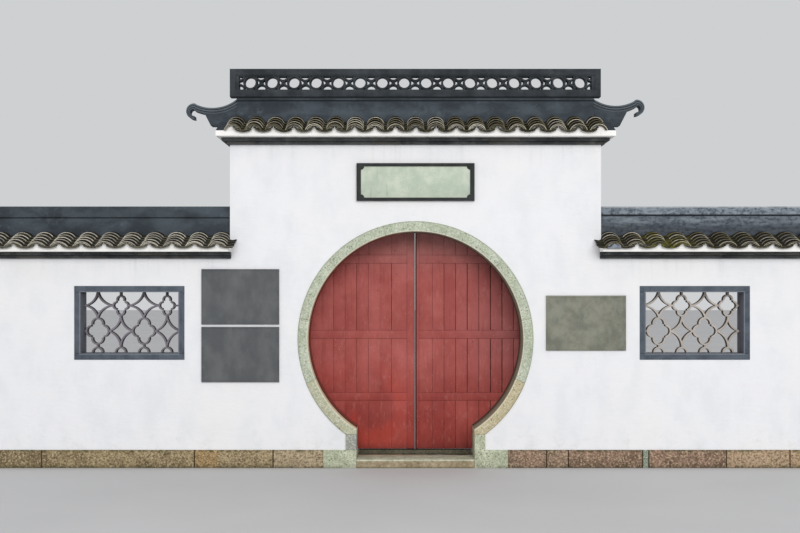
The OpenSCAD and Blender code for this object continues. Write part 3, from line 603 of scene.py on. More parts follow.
def red_paint():
    """Dusty red paint on planks: chalky and greyer high up, brighter low down, dark in the joints; a
    painted glow of light low on the left leaf, painted shade high on the right one and along the leaves'
    feet and meeting edges.
    """
    f = Finish("red_paint", 0.72, 0.25)
    tone = f.note("tone")
    grain = f.noise(60, 5, 0.65, stretch=(1, 1, 0.06), seed=1)
    weave = f.noise(150, 3, stretch=(0.2, 1, 1), seed=2)
    cloud = f.noise(3.2, seed=3)
    wear = cloud.ramp(0.35, 0.7)
    high = f.blend(wear, (152, 96, 92), (168, 114, 110))
    middle = f.blend(wear, (158, 76, 71), (174, 92, 87))
    low = f.blend(wear, (138, 52, 46), (158, 66, 58))
    f.base(f.z.ramp(1.1, 0.35), middle, low)
    f.coat(f.z.ramp(1.75, 2.2), high)
    f.coat(tone.ramp(0.5, 1.0) * 0.12, (182, 106, 100))
    f.coat(tone.ramp(0.45, 0.0) * 0.12, (128, 54, 52))
    shade = f.x.ramp(0.3, 0.95) * f.z.ramp(0.6, 1.2)
    f.coat(shade * 0.45, (132, 84, 84))
    # A painted glow of light, warm orange, low on the left leaf.
    painted_glow = f.z.ramp(1.15, 0.5) * f.x.ramp(0.1, -0.3) * f.noise(2.4, 2, 0.55, seed=4).ramp(0.38, 0.62)
    f.coat(painted_glow * 0.5, (186, 66, 50))
    dust = f.noise(30, 5, 0.7, stretch=(1, 1, 0.35), seed=5)
    f.coat(dust.ramp(0.5, 0.75) * 0.35, (184, 122, 116))
    f.coat(grain.ramp(0.56, 0.72) * 0.38, (116, 52, 48))
    f.coat(weave.ramp(0.55, 0.75) * 0.2, (132, 62, 58))
    spots = f.noise(9, 3, 0.55, seed=7).ramp(0.5, 0.62)
    chip = f.cells(70, stretch=(1, 1, 0.35), seed=6).ramp(0.16, 0.08) * spots
    f.coat(chip * 0.6, (212, 164, 152))
    knot = f.cells(16, stretch=(1, 1, 0.6), seed=8).ramp(0.1, 0.05)
    f.coat(knot * f.noise(5, 2, 0.55, seed=9).ramp(0.5, 0.6) * 0.7, (88, 36, 34))
    # Painted shade: darker along the leaves' feet, near-black at their lowest edge.
    f.coat(f.z.ramp(LEAF_LOW + 0.076, LEAF_LOW + 0.006) * 0.4, (96, 44, 38))
    f.coat(f.z.ramp(LEAF_LOW + 0.0055, LEAF_LOW + 0.003) * 0.9, (30, 14, 12))
    # Painted shade: a dark line along the edges where the two leaves meet.
    meeting = f.x.ramp(-0.009, -0.005) * f.x.ramp(0.02, 0.013)
    f.coat(meeting * 0.92, (40, 16, 14))
    f.relief(grain, 0.0014)
    f.relief(weave, 0.0007)
    return f.done(0.6 + 0.25 * dust)


def beam_paint():
    f = Finish("beam_paint", 0.75, 0.3)
    grain = f.noise(60, 5, 0.65, stretch=(0.06, 1, 1), seed=1)
    cloud = f.noise(5, seed=2)
    f.base(cloud.ramp(0.35, 0.7), (104, 42, 38), (132, 58, 50))
    f.coat(grain.ramp(0.56, 0.72) * 0.5, (78, 34, 30))
    f.relief(grain, 0.0016)
    return f.done()


def joint_dark():
    f = Finish("joint_dark", 0.9, 0.1)
    f.base(f.noise(30).ramp(0.3, 0.7), (26, 11, 10), (52, 23, 21))
    bridged = f.noise(9, 4, 0.7, stretch=(1, 1, 0.6), seed=2).ramp(0.52, 0.6)
    f.coat(bridged * (0.8 - 0.55 * f.x.ramp(0.1, 0.3)), (140, 66, 60))
    return f.done()


def joint_soil():
    f = Finish("joint_soil", 0.95, 0.05)
    f.base(f.noise(40).ramp(0.3, 0.7), (38, 32, 24), (74, 68, 44))
    return f.done()


def joint_mortar():
    f = Finish("joint_mortar", 0.92, 0.1)
    cloud = f.noise(30, seed=1)
    f.base(cloud.ramp(0.3, 0.7), (150, 142, 124), (190, 182, 162))
    f.coat(f.noise(12, seed=2).ramp(0.4, 0.6) * 0.7, (86, 80, 62))
    f.relief(cloud, 0.003)
    return f.done()


# Pieces


def new_form():
    form = bmesh.new()
    form.verts.layers.float.new("tone")
    return form


def rectangle(low_x, low_z, high_x, high_z):
    return [(low_x, low_z), (high_x, low_z), (high_x, high_z), (low_x, high_z)]


def arc(centre, radius, start, end, steps):
    """Points along an arc, angles in degrees."""
    turns = [math.radians(start + (end - start) * i / steps) for i in range(steps + 1)]
    return [(centre[0] + radius * math.cos(turn), centre[1] + radius * math.sin(turn)) for turn in turns]


def curved_bar(centre, outer, thickness, start, end, steps):
    return arc(centre, outer, start, end, steps) + arc(centre, outer - thickness, end, start, steps)


def slab(form, outline, low, high, arris=0.003, tone=0.5, along="y", steps=2):
    """A block of a flat outline, from one depth to another, with its sharp arrises worn round."""
    def point(u, v, w):
        return {"x": (w, u, v), "y": (u, w, v), "z": (u, v, w)}[along]
    near = [form.verts.new(point(u, v, low)) for u, v in outline]
    far = [form.verts.new(point(u, v, high)) for u, v in outline]
    count = len(outline)
    faces = [form.faces.new(near), form.faces.new(far[::-1])]
    faces += [form.faces.new((near[i], far[i], far[(i + 1) % count], near[(i + 1) % count]))
              for i in range(count)]
    bmesh.ops.recalc_face_normals(form, faces=faces)
    if arris:
        edges = {edge for face in faces for edge in face.edges}
        sharp = [edge for edge in edges if len(edge.link_faces) == 2 and edge.calc_face_angle(0) > 0.6]
        worn = bmesh.ops.bevel(form, geom=sharp, offset=arris, segments=steps,
            affect="EDGES", profile=0.5, clamp_overlap=True)
        faces = {face for face in faces if face.is_valid} | set(worn["faces"])
    layer = form.verts.layers.float["tone"]
    for face in faces:
        for vert in face.verts:
            vert[layer] = tone


def box(form, low, high, arris=0.003, tone=0.5):
    slab(form, rectangle(low[0], low[2], high[0], high[2]), low[1], high[1], arris, tone)


def flipped(form):
    """The same form on the left side."""
    bmesh.ops.scale(form, vec=(-1, 1, 1), verts=form.verts)
    bmesh.ops.reverse_faces(form, faces=form.faces)
    return form


def meshed(form, name="part"):
    mesh = bpy.data.meshes.new(name)
    form.to_mesh(mesh)
    form.free()
    return mesh


def show_mesh(name, mesh, finish, slot, *stands_for, body="wall", soften=28):
    """Turns a mesh into a piece that rides on a body and stands for nodes."""
    piece = placed(name, mesh)
    mesh.materials.clear()
    mesh.materials.append(FINISHES[finish])
    for face in mesh.polygons:
        face.use_smooth = True
    mesh.set_sharp_from_angle(angle=math.radians(soften))
    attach(piece, body)
    if stands_for:
        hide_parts(*stands_for)


def show(name, form, finish, slot, *stands_for, body="wall", soften=28):
    show_mesh(name, meshed(form, name), finish, slot, *stands_for, body=body, soften=soften)


def show_slab(name, outline, low, high, arris, finish, slot, *stands_for, tone=0.5, along="y"):
    """A piece of one slab."""
    form = new_form()
    slab(form, outline, low, high, arris, tone, along)
    show(name, form, finish, slot, *stands_for)


def joined(name, meshes, finish, slot, *stands_for, soften=28):
    """Several meshes as one piece."""
    form = bmesh.new()
    for mesh in meshes:
        form.from_mesh(mesh)
        bpy.data.meshes.remove(mesh)
    bmesh.ops.recalc_face_normals(form, faces=form.faces)
    show(name, form, finish, slot, *stands_for, soften=soften)


def holed_slab(name, outlines, front, back, arris):
    """A mesh of a flat outline with holes, drawn as a filled curve so that its arrises are round."""
    drawing = bpy.data.curves.new(name, "CURVE")
    drawing.dimensions = "2D"
    drawing.fill_mode = "BOTH"
    drawing.extrude = (back - front) / 2 - arris
    drawing.bevel_depth = arris
    drawing.bevel_resolution = 1
    drawing.offset = -arris
    for outline in outlines:
        spline = drawing.splines.new("POLY")
        spline.points.add(len(outline) - 1)
        for point, (x, z) in zip(spline.points, outline):
            point.co = (x, z, 0, 1)
        spline.use_cyclic_u = True
    holder = placed(name, drawing)
    mesh = bpy.data.meshes.new_from_object(holder.evaluated_get(bpy.context.evaluated_depsgraph_get()))
    bpy.data.objects.remove(holder)
    bpy.data.curves.remove(drawing)
    middle = (front + back) / 2
    for vert in mesh.vertices:
        x, up, depth = vert.co
        vert.co = (x, middle - depth, up)
    form = bmesh.new()
    form.from_mesh(mesh)
    bmesh.ops.remove_doubles(form, verts=form.verts, dist=1e-5)
    bmesh.ops.recalc_face_normals(form, faces=form.faces)
    form.to_mesh(mesh)
    form.free()
    return mesh


def laying_tree():
    """Geometry Nodes: lays copies of one piece in rows and courses, each nudged and toned a little."""
    tree = bpy.data.node_groups.new("laying", "GeometryNodeTree")
    tree.interface.new_socket("Geometry", in_out="OUTPUT", socket_type="NodeSocketGeometry")
    for name, kind in (("Piece", "Object"), ("Rows", "Int"), ("Courses", "Int"), ("Start", "Vector"),
                       ("Row step", "Vector"), ("Course step", "Vector"), ("Shift", "Vector"),
                       ("Turn", "Vector"), ("Seed", "Int"), ("Finish", "Material")):
        tree.interface.new_socket(name, in_out="INPUT", socket_type="NodeSocket" + kind)
    given = tree.nodes.new("NodeGroupInput").outputs

    def add(kind, inputs, output=0, **settings):
        return add_node(tree, kind, settings, inputs).outputs[output]

    def maths(operation, a, b):
        return add("ShaderNodeMath", {0: a, 1: b}, operation=operation)

    def plus(a, b):
        return add("ShaderNodeVectorMath", {0: a, 1: b}, operation="ADD")

    def times(a, scale):
        return add("ShaderNodeVectorMath", {0: a, "Scale": scale}, operation="SCALE")

    def spread(limit, salt):
        return add("FunctionNodeRandomValue", {0: times(limit, -1.0), 1: limit,
            "Seed": maths("ADD", given["Seed"], salt)}, data_type="FLOAT_VECTOR")

    index = add("GeometryNodeInputIndex", {})
    row = maths("FLOOR", maths("DIVIDE", index, given["Courses"]), 0.0)
    course = maths("MODULO", index, given["Courses"])
    place = plus(given["Start"], times(given["Row step"], row))
    place = plus(place, times(given["Course step"], course))
    place = plus(place, spread(given["Shift"], 1.0))
    line = add("GeometryNodeMeshLine", {"Count": maths("MULTIPLY", given["Rows"], given["Courses"]),
        "Offset": (0, 0, 0)}, mode="OFFSET")
    points = add("GeometryNodeSetPosition", {"Geometry": line, "Position": place})
    source = add("GeometryNodeObjectInfo", {"Object": given["Piece"]}, "Geometry",
        transform_space="ORIGINAL")
    turned = add("FunctionNodeEulerToRotation", {0: spread(given["Turn"], 2.0)})
    laid = add("GeometryNodeInstanceOnPoints", {"Points": points, "Instance": source, "Rotation": turned})
    tone = add("FunctionNodeRandomValue", {"Seed": maths("ADD", given["Seed"], 3.0)}, 1,
        data_type="FLOAT")
    toned = add("GeometryNodeStoreNamedAttribute", {"Geometry": laid, "Name": "tone", "Value": tone},
        data_type="FLOAT", domain="INSTANCE")
    real = add("GeometryNodeRealizeInstances", {0: toned})
    painted = add("GeometryNodeSetMaterial", {"Geometry": real, "Material": given["Finish"]})
    tree.links.new(painted, tree.nodes.new("NodeGroupOutput").inputs[0])
    return tree


LAYING = laying_tree()


def lay(template, finish, rows, courses, start, row_step, course_step=(0, 0, 0),
        shift=(0, 0, 0), turn=(0, 0, 0), seed=1):
    """A mesh of copies of a template form, laid by the Geometry Nodes tree."""
    piece = placed("template", meshed(template, "template"))
    holder = placed("laid", bpy.data.meshes.new("laid"))
    modifier = holder.modifiers.new("laying", "NODES")
    modifier.node_group = LAYING
    values = (piece, rows, courses, start, row_step, course_step, shift, turn, seed, FINISHES[finish])
    inputs = [item for item in LAYING.interface.items_tree if item.in_out == "INPUT"]
    for item, value in zip(inputs, values):
        modifier[item.identifier] = value
    holder.update_tag()
    graph = bpy.context.evaluated_depsgraph_get()
    laid = bpy.data.meshes.new_from_object(holder.evaluated_get(graph),
        preserve_all_data_layers=True, depsgraph=graph)
    holder.modifiers.clear()
    for each in (holder, piece):
        bpy.data.objects.remove(each)
    return laid


# Plinth, foot stones, neck stones and steps

BACK_PROUD = 0.015
PLINTH_JOINTS = {"left": (0.86, 1.327, 2.06, 3.483, 4.0),
                 "right": (0.86, 1.221, 1.424, 2.116, 2.174, 2.897, 3.489, 4.0)}
PLINTH_TONES = {"left": (0.85, 0.55, 0.42, 0.15), "right": (0.55, 0.6, 0.2, 0.5, 0.3, 0.75, 0.7)}
FILLER = (2.116, 2.174)
PLINTH_PROUD, PLINTH_GAP, PLINTH_ARRIS, PLINTH_UNEVEN = 0.015, 0.004, 0.009, 0.003
SOIL_SUNK, SOIL_DROP, SOIL_LIFT, SOIL_END = 0.012, 0.006, 0.004, 0.01
FOOT_PROUD, FOOT_ARRIS = 0.02, 0.006
STEP_HALF, STEP_ARRIS = 0.549, 0.002
# Profiles of the step and the threshold from front to back: depth and height
STEP = [(-0.19, 0.0), (-0.19, 0.071), (-0.184, 0.078), (-0.1, 0.08), (0.185, 0.079), (0.185, 0.0)]
THRESHOLD = [(0.1855, 0.0), (0.1855, 0.11), (0.192, 0.117), (0.234, 0.118), (0.24, 0.112), (0.24, 0.0)]


def plinth_course(name):
    """Stones with soil in their joints, and a grey-green filler stone between two right ones."""
    side, joints = SIDES[name], PLINTH_JOINTS[name]
    front, back = FRONT - PLINTH_PROUD, BACK + BACK_PROUD
    form, filler = new_form(), new_form()
    for low, high, tone in zip(joints, joints[1:], PLINTH_TONES[name]):
        left, right = sorted((side * (low + PLINTH_GAP * (low > FOOT_REACH)),
            side * (high - PLINTH_GAP * (high < WALL_REACH))))
        sag, sunk, short = (chance.uniform(0, PLINTH_UNEVEN) for _ in range(3))
        box(filler if (low, high) == FILLER else form, (left, front + sunk, 0),
            (right, back - short, PLINTH_TOP - sag), PLINTH_ARRIS, tone)
    show(f"plinth_{name}_stones", form, "plinth", "plinth_stone", f"plinth_{name}")
    if name == "right":
        show("plinth_filler_stone", filler, "filler", "grey_green_stone")
    else:
        filler.free()
    left, right = sorted((side * (FOOT_REACH + SOIL_END), side * (WALL_REACH - SOIL_END)))
    show_slab(f"plinth_{name}_joints", rectangle(left, SOIL_LIFT, right, PLINTH_TOP - SOIL_DROP),
        front + SOIL_SUNK, back - SOIL_SUNK, 0, "joint_soil", "plinth_stone")


def foot_and_neck():
    """The left foot and neck stones, and the right foot stone in one with its neck."""
    front, back = FRONT - FOOT_PROUD, BACK + BACK_PROUD
    foot = rectangle(-FOOT_REACH, 0, -NECK_IN, PLINTH_TOP)
    ell = [(NECK_IN, 0), (FOOT_REACH, 0), (FOOT_REACH, PLINTH_TOP), (NECK_OUT, PLINTH_TOP),
           (NECK_OUT, NECK_TOP), (NECK_IN, NECK_TOP)]
    for name, outline, tone in (("left", foot, 0.7), ("right", ell, 0.8)):
        show_slab(f"foot_block_{name}", outline, front, back, FOOT_ARRIS, "pale_green",
            "grey_green_stone", f"foot_stone_{name}", tone=tone)
    show_slab("neck_block_left", rectangle(-NECK_OUT, PLINTH_TOP, -NECK_IN, NECK_TOP - 0.001),
        front, back, 0.005, "neck", "blue_grey_stone", "neck_stone_left", tone=0.7)


def step_and_threshold():
    for name, profile, node in (("worn_step", STEP, "front_step"),
                                ("worn_threshold", THRESHOLD, "threshold")):
        show_slab(name, profile, -STEP_HALF, STEP_HALF, STEP_ARRIS, "step", "step_stone", node, along="x")


# Moon ring

RING_STONES = 9
NECK_ANGLE = math.degrees(math.asin((RING_Z - NECK_TOP) / RING_OUT))
RING_STEP = (180 + 2 * NECK_ANGLE) / RING_STONES
STONE_TONES = [0.02, 0.75, 0.6, 0.85, 0.7, 0.9, 0.65, 0.55, 0.3]
RING_PROUD, RING_ARRIS, RING_HALF_JOINT, RING_UNEVEN = 0.008, 0.005, 0.0008, 0.0015
LIME_HALF, LIME_SUNK, LIME_FRONT, LIME_BACK = 0.004, 0.006, 0.0045, 0.011


def ring_stone_outline(number):
    """A ring stone, numbered from the right; the first and the last one stand on the necks."""
    first, last = number == 0, number == RING_STONES - 1
    low = -NECK_ANGLE + number * RING_STEP
    high = low + RING_STEP
    foot_z = NECK_TOP + 0.0005
    curves = []
    for radius, foot_x in ((RING_OUT, NECK_OUT), (RING_R, NECK_IN)):
        gap = math.degrees(RING_HALF_JOINT / radius)
        foot = -math.degrees(math.acos(foot_x / radius))
        start = foot if first else low + gap
        end = 180 - foot if last else high - gap
        curves.append((radius, start, end, 18 if first or last else 16))
    (outer_r, outer_start, outer_end, steps), (inner_r, inner_start, inner_end, steps) = curves
    points = [(NECK_IN, foot_z), (NECK_OUT, foot_z)] if first else []
    points += arc((0, RING_Z), outer_r, outer_start, outer_end, steps)
    points += [(-NECK_OUT, foot_z), (-NECK_IN, foot_z)] if last else []
    return points + arc((0, RING_Z), inner_r, inner_end, inner_start, steps)


def ring():
    """The ring stones, and the lime in their joints, set back from the faces."""
    form = new_form()
    for number, tone in enumerate(STONE_TONES):
        front = FRONT - RING_PROUD + chance.uniform(0, RING_UNEVEN)
        slab(form, ring_stone_outline(number), front, BACK + BACK_PROUD, RING_ARRIS, tone)
    show("ring_stones", form, "ring", "grey_green_stone",
        "moon_ring", "ring_base_left", "ring_base_right")
    lime = new_form()
    wide = math.degrees(LIME_HALF / RING_R)
    for number in range(1, RING_STONES):
        middle = -NECK_ANGLE + number * RING_STEP
        points = arc((0, RING_Z), RING_OUT - LIME_SUNK, middle - wide, middle + wide, 1)
        points += arc((0, RING_Z), RING_R + LIME_SUNK, middle + wide, middle - wide, 1)
        slab(lime, points, FRONT - LIME_FRONT, BACK + LIME_BACK, 0)
    show("ring_joints", lime, "joint_mortar", "grey_green_stone")


# Windows

FRAME_BAR, FRAME_PROUD, FRAME_ARRIS, FRAME_JOINT = 0.058, 0.006, 0.004, 0.0008
LATTICE_BAR, LATTICE_ARRIS, LATTICE_UNEVEN = 0.016, 0.0022, 0.0006
LATTICE_HALF = span("window_lattice_left", "y")[1]
DAB_HALF, DAB_LAP = 0.03, 0.001
COL, ROW, TOP_ROW = 0.218, 0.241, 0.158
FOOT_R = 0.055
OPEN_W, OPEN_H = extent("window_lattice_left", "x"), extent("window_lattice_left", "z")
LOBE_RATIO, STAR_RATIO = 0.53, 0.85
# Each window: middle, half sizes of its small and big figures, how far its drawing is shifted
WINDOWS = {"left": (midway("window_frame_left", "x"), (0.078, 0.098), (0.112, 0.129), -0.009),
           "right": (midway("window_frame_right", "x"), (0.091, 0.105), (0.117, 0.134), 0.026)}
WINDOW_Z = midway("window_frame_left", "z")


def window_frame(name):
    """Head and sill, with the two jambs between them set back a little."""
    x, z = WINDOWS[name][0], WINDOW_Z
    side, top = OPEN_W / 2, OPEN_H / 2
    half_w, half_h, jamb = side + FRAME_BAR, top + FRAME_BAR, top - FRAME_JOINT
    form = new_form()
    for low_x, low_z, high_x, high_z, sunk, tone in (
            (-half_w, top, half_w, half_h, 0, 0.6), (-half_w, -half_h, half_w, -top, 0, 0.3),
            (-half_w, -jamb, -side, jamb, 0.001, 0.9), (side, -jamb, half_w, jamb, 0.001, 0.1)):
        box(form, (x + low_x, FRONT - FRAME_PROUD + sunk, z + low_z),
            (x + high_x, LATTICE_HALF - sunk, z + high_z), FRAME_ARRIS, tone)
    show(f"window_surround_{name}", form, "frame", "frame_stone", f"window_frame_{name}")


def quatrefoil_bars(centre, half):
    """Four lobes, each a curved tile from one crossing with its neighbour to the next."""
    lobe = half[0] * LOBE_RATIO
    side, top = half[0] - lobe, half[1] - lobe
    apart = math.hypot(side, top)
    reach = math.sqrt(lobe * lobe - apart * apart / 4)
    cross = (side / 2 + top / apart * reach, top / 2 + side / apart * reach)
    side_angle = math.degrees(math.atan2(cross[1], cross[0] - side))
    top_angle = math.degrees(math.atan2(cross[1] - top, cross[0]))
    bars = []
    for sign, turn in ((1, 0), (-1, 180)):
        bars.append(curved_bar((centre[0] + sign * side, centre[1]), lobe, LATTICE_BAR,
            turn - side_angle, turn + side_angle, 14))
        bars.append(curved_bar((centre[0], centre[1] + sign * top), lobe, LATTICE_BAR,
            turn + top_angle, turn + 180 - top_angle, 14))
    return bars


def star_bars(centre, left, right, down, up):
    """Four curved tiles that bend in towards the star's middle."""
    bars = []
    for reach, rise, way_x, way_z in ((right, up, 1, 1), (left, up, -1, 1), (right, down, 1, -1),
                                      (left, down, -1, -1)):
        chord = math.hypot(reach, rise)
        radius = chord * STAR_RATIO
        away = math.sqrt(radius * radius - chord * chord / 4)
        hub = (reach / 2 + rise / chord * away, rise / 2 + reach / chord * away)
        start = math.degrees(math.atan2(-hub[1], reach - hub[0])) % 360
        end = math.degrees(math.atan2(rise - hub[1], -hub[0])) % 360
        points = curved_bar(hub, radius + LATTICE_BAR / 2, LATTICE_BAR, start, end, 10)
        bars.append([(centre[0] + way_x * u, centre[1] + way_z * v) for u, v in points])
    return bars


def clipped(points, half_w, half_h):
    """The part of an outline inside the window opening."""
    for axis, sign, limit in ((0, 1, half_w), (0, -1, half_w), (1, 1, half_h), (1, -1, half_h)):
        kept = []
        for here, after in zip(points, points[1:] + points[:1]):
            a, b = sign * here[axis], sign * after[axis]
            if a <= limit:
                kept.append(here)
            if (a - limit) * (b - limit) < 0:
                share = (limit - a) / (b - a)
                kept.append(tuple(p + (q - p) * share for p, q in zip(here, after)))
        points = kept
        if len(points) < 3:
            return []
    return points


def window_lattice(name):
    """Quatrefoils and stars in turn in two staggered rows, over a row of half hoops. Dabs of mortar
    join the figures to each other and to the frame."""
    x, small, big, shift = WINDOWS[name]
    side, top = OPEN_W / 2, OPEN_H / 2
    low_row = TOP_ROW - ROW
    foot_top = FOOT_R - top
    outer_col = 1.5 * COL
    half = LATTICE_BAR / 2
    small_gap, big_gap = COL - small[0] + half, COL - big[0] + half
    bars, dabs = [], []
    for k in range(4):
        u = shift + k * COL - outer_col
        if k % 2 == 0:
            left_up = side + u if k == 0 else small_gap
            bars += star_bars((u, TOP_ROW), left_up, small_gap, ROW - big[1], top - TOP_ROW)
            bars += quatrefoil_bars((u, low_row), big)
            spans = ((low_row + big[1] - half, low_row + big[1] + half),
                     (foot_top - half, low_row - big[1] + half))
        else:
            right_low = side - u if k == 3 else big_gap
            bars += quatrefoil_bars((u, TOP_ROW), small)
            bars += star_bars((u, low_row), big_gap, right_low, low_row - foot_top, ROW - small[1])
            spans = ((TOP_ROW + small[1] - half, top),)
        dabs += [(u - half, low, u + half, high) for low, high in spans]
        bars.append(curved_bar((u, -top), FOOT_R, LATTICE_BAR, 0, 180, 14))
    dabs.append((shift + outer_col + small[0] - half, TOP_ROW - half, side, TOP_ROW + half))
    dabs.append((-side, low_row - half, shift - outer_col - big[0] + half, low_row + half))
    form = new_form()
    for number, bar in enumerate(bars):
        inside = clipped(bar, side, top)
        if inside:
            reach = LATTICE_HALF - LATTICE_UNEVEN * (number % 5)
            slab(form, [(x + u, WINDOW_Z + v) for u, v in inside], -reach, reach, LATTICE_ARRIS,
                chance.random(), steps=1)
    for low_u, low_v, high_u, high_v in dabs:
        box(form, (x + low_u - DAB_LAP, -DAB_HALF, WINDOW_Z + low_v),
            (x + high_u + DAB_LAP, DAB_HALF, WINDOW_Z + high_v), tone=0.9)
    show(f"window_tiles_{name}", form, "lattice", "lattice_tile", f"window_lattice_{name}", soften=35)


# Cornices: heights of their undersides, how far their two courses stand out, and a brick's sizes

GATE_CORNICE_Z, SIDE_CORNICE_Z = span("cornice_gate", "z")[0], span("cornice_right", "z")[0]
LOW_OUT, UP_OUT = 0.03, 0.07
BRICK_L, BRICK_H, BRICK_ARRIS = 0.27, extent("cornice_gate", "z") / 2, 0.0025
BRICK_END, BRICK_BED, BRICK_UNEVEN = 0.0007, 0.0004, 0.002
COPING_LAP = 0.012


def cornice_course(low_x, high_x, low_z, out, seed, lap=0.0):
    """Thin bricks from front to back, with fine joints. A lap runs on over the tall wall's faces."""
    form = new_form()
    count = round((high_x - low_x) / BRICK_L)
    step = (high_x - low_x) / count
    low, high = low_z + BRICK_BED, low_z + BRICK_H - BRICK_BED
    dice = random.Random(seed)
    for k in range(count):
        box(form, (low_x + k * step + BRICK_END, FRONT - out + dice.uniform(0, BRICK_UNEVEN), low),
            (low_x + (k + 1) * step - BRICK_END, BACK + out - dice.uniform(0, BRICK_UNEVEN), high),
            BRICK_ARRIS, dice.random())
    if lap:
        for near, far in ((FRONT - out, FRONT - 0.0005), (BACK + 0.0005, BACK + out)):
            box(form, (low_x - lap, near, low), (low_x, far, high), BRICK_ARRIS, 0.5)
    return form


def cornices():
    courses = ((LOW_OUT, 0), (UP_OUT, 1))
    gate = [meshed(cornice_course(-GATE_HALF - out, GATE_HALF + out, GATE_CORNICE_Z + BRICK_H * number,
        out, 11 + number)) for out, number in courses]
    joined("cornice_bricks_gate", gate, "cornice", "cornice_brick", "cornice_gate")
    for name, seed in (("left", 21), ("right", 31)):
        meshes = []
        for out, number in courses:
            form = cornice_course(GATE_HALF, WALL_REACH, SIDE_CORNICE_Z + BRICK_H * number, out,
                seed + number, COPING_LAP)
            meshes.append(meshed(flipped(form) if name == "left" else form))
        joined(f"cornice_bricks_{name}", meshes, "cornice", "cornice_brick", f"cornice_{name}")


# Roof tiles: a tile's thickness, how much longer it is than what shows of it, how deep a trough
# hangs and how far the troughs beside the tall wall run in front of it, for so many courses

TILE_THICK = 0.0085
TILE_OVERLAP = 1.22
TROUGH_DIP = 0.036
# A cover's lips above the bed, the gap beside a trough, how far a cover tips, as a share of what
# shows of it, and the two lengths and the bluntness of a tile's rim
COVER_LIP, TROUGH_GAP, LIFT_SHARE = 0.013, 0.002, 0.25
RIM_NEAR, RIM_FAR, RIM_BLUNT = 0.0015, 0.006, 0.001
TILE_LAP, LAPPED = 0.066, 3
GATE_COURSES, SIDE_COURSES = 4, 5
# How far the lowest tiles stand out past the eave, then those under them, and the length of these
COVER_OUT, TROUGH_OUT = 0.004, 0.008
UNDER_COVER_OUT, UNDER_TROUGH_OUT = -0.002, 0.012
UNDER_COVER_LONG, UNDER_TROUGH_LONG = 0.06, 0.03
TILE_SHIFT, TILE_TURN = (0.0025, 0.002, 0.0012), (0.02, 0.03, 0.035)
PLUG_R, PLUG_FLAT, PLUG_DROP, PLUG_OUT, PLUG_IN = 0.066, 0.84, 0.012, 0.013, 0.03
SLOPE_LENGTH = SLOPE_RUN / math.cos(GATE_SLOPE)


def tile_form(radius, drop, from_angle, to_angle, hollow_down, slope, exposed, length, lift):
    """One small curved tile. Its lower end lies at the origin and it climbs along +Y at the slope,
    tipped so that it lies clear of the tile below. Its thin lower rim is noted."""
    form = bmesh.new()
    rim = form.verts.layers.float.new("rim")
    trough = form.verts.layers.float.new("trough")
    tip = slope - math.asin(lift / exposed)
    steps = max(2, round(10 * (to_angle - from_angle) / 2.2))
    way = 1 if hollow_down else -1
    rows = []
    for along, edge in ((0.0, 1), (RIM_NEAR, 1), (RIM_FAR, 0), (length, 0)):
        row = []
        for shell in (0, 1):
            r = radius - way * TILE_THICK * shell
            blunt = RIM_BLUNT * (2 * shell - 1) * way if along == 0 else 0.0
            line = []
            for i in range(steps + 1):
                angle = from_angle + (to_angle - from_angle) * i / steps
                height = drop - way * (radius - r * math.cos(angle)) + blunt
                vert = form.verts.new((r * math.sin(angle),
                    along * math.cos(tip) - height * math.sin(slope),
                    along * math.sin(tip) + height * math.cos(slope)))
                vert[rim] = edge * (1 - 0.45 * shell)
                vert[trough] = 0.0 if hollow_down else 1.0
                line.append(vert)
            row.append(line)
        rows.append(row)
    for low, high in zip(rows, rows[1:]):
        for shell in (0, 1):
            for i in range(steps):
                form.faces.new((low[shell][i], low[shell][i + 1], high[shell][i + 1], high[shell][i]))
        for i in (0, steps):
            form.faces.new((low[0][i], high[0][i], high[1][i], low[1][i]))
    for outer, inner in (rows[0], rows[-1]):
        for i in range(steps):
            form.faces.new((outer[i], outer[i + 1], inner[i + 1], inner[i]))
    bmesh.ops.recalc_face_normals(form, faces=form.faces)
    return form


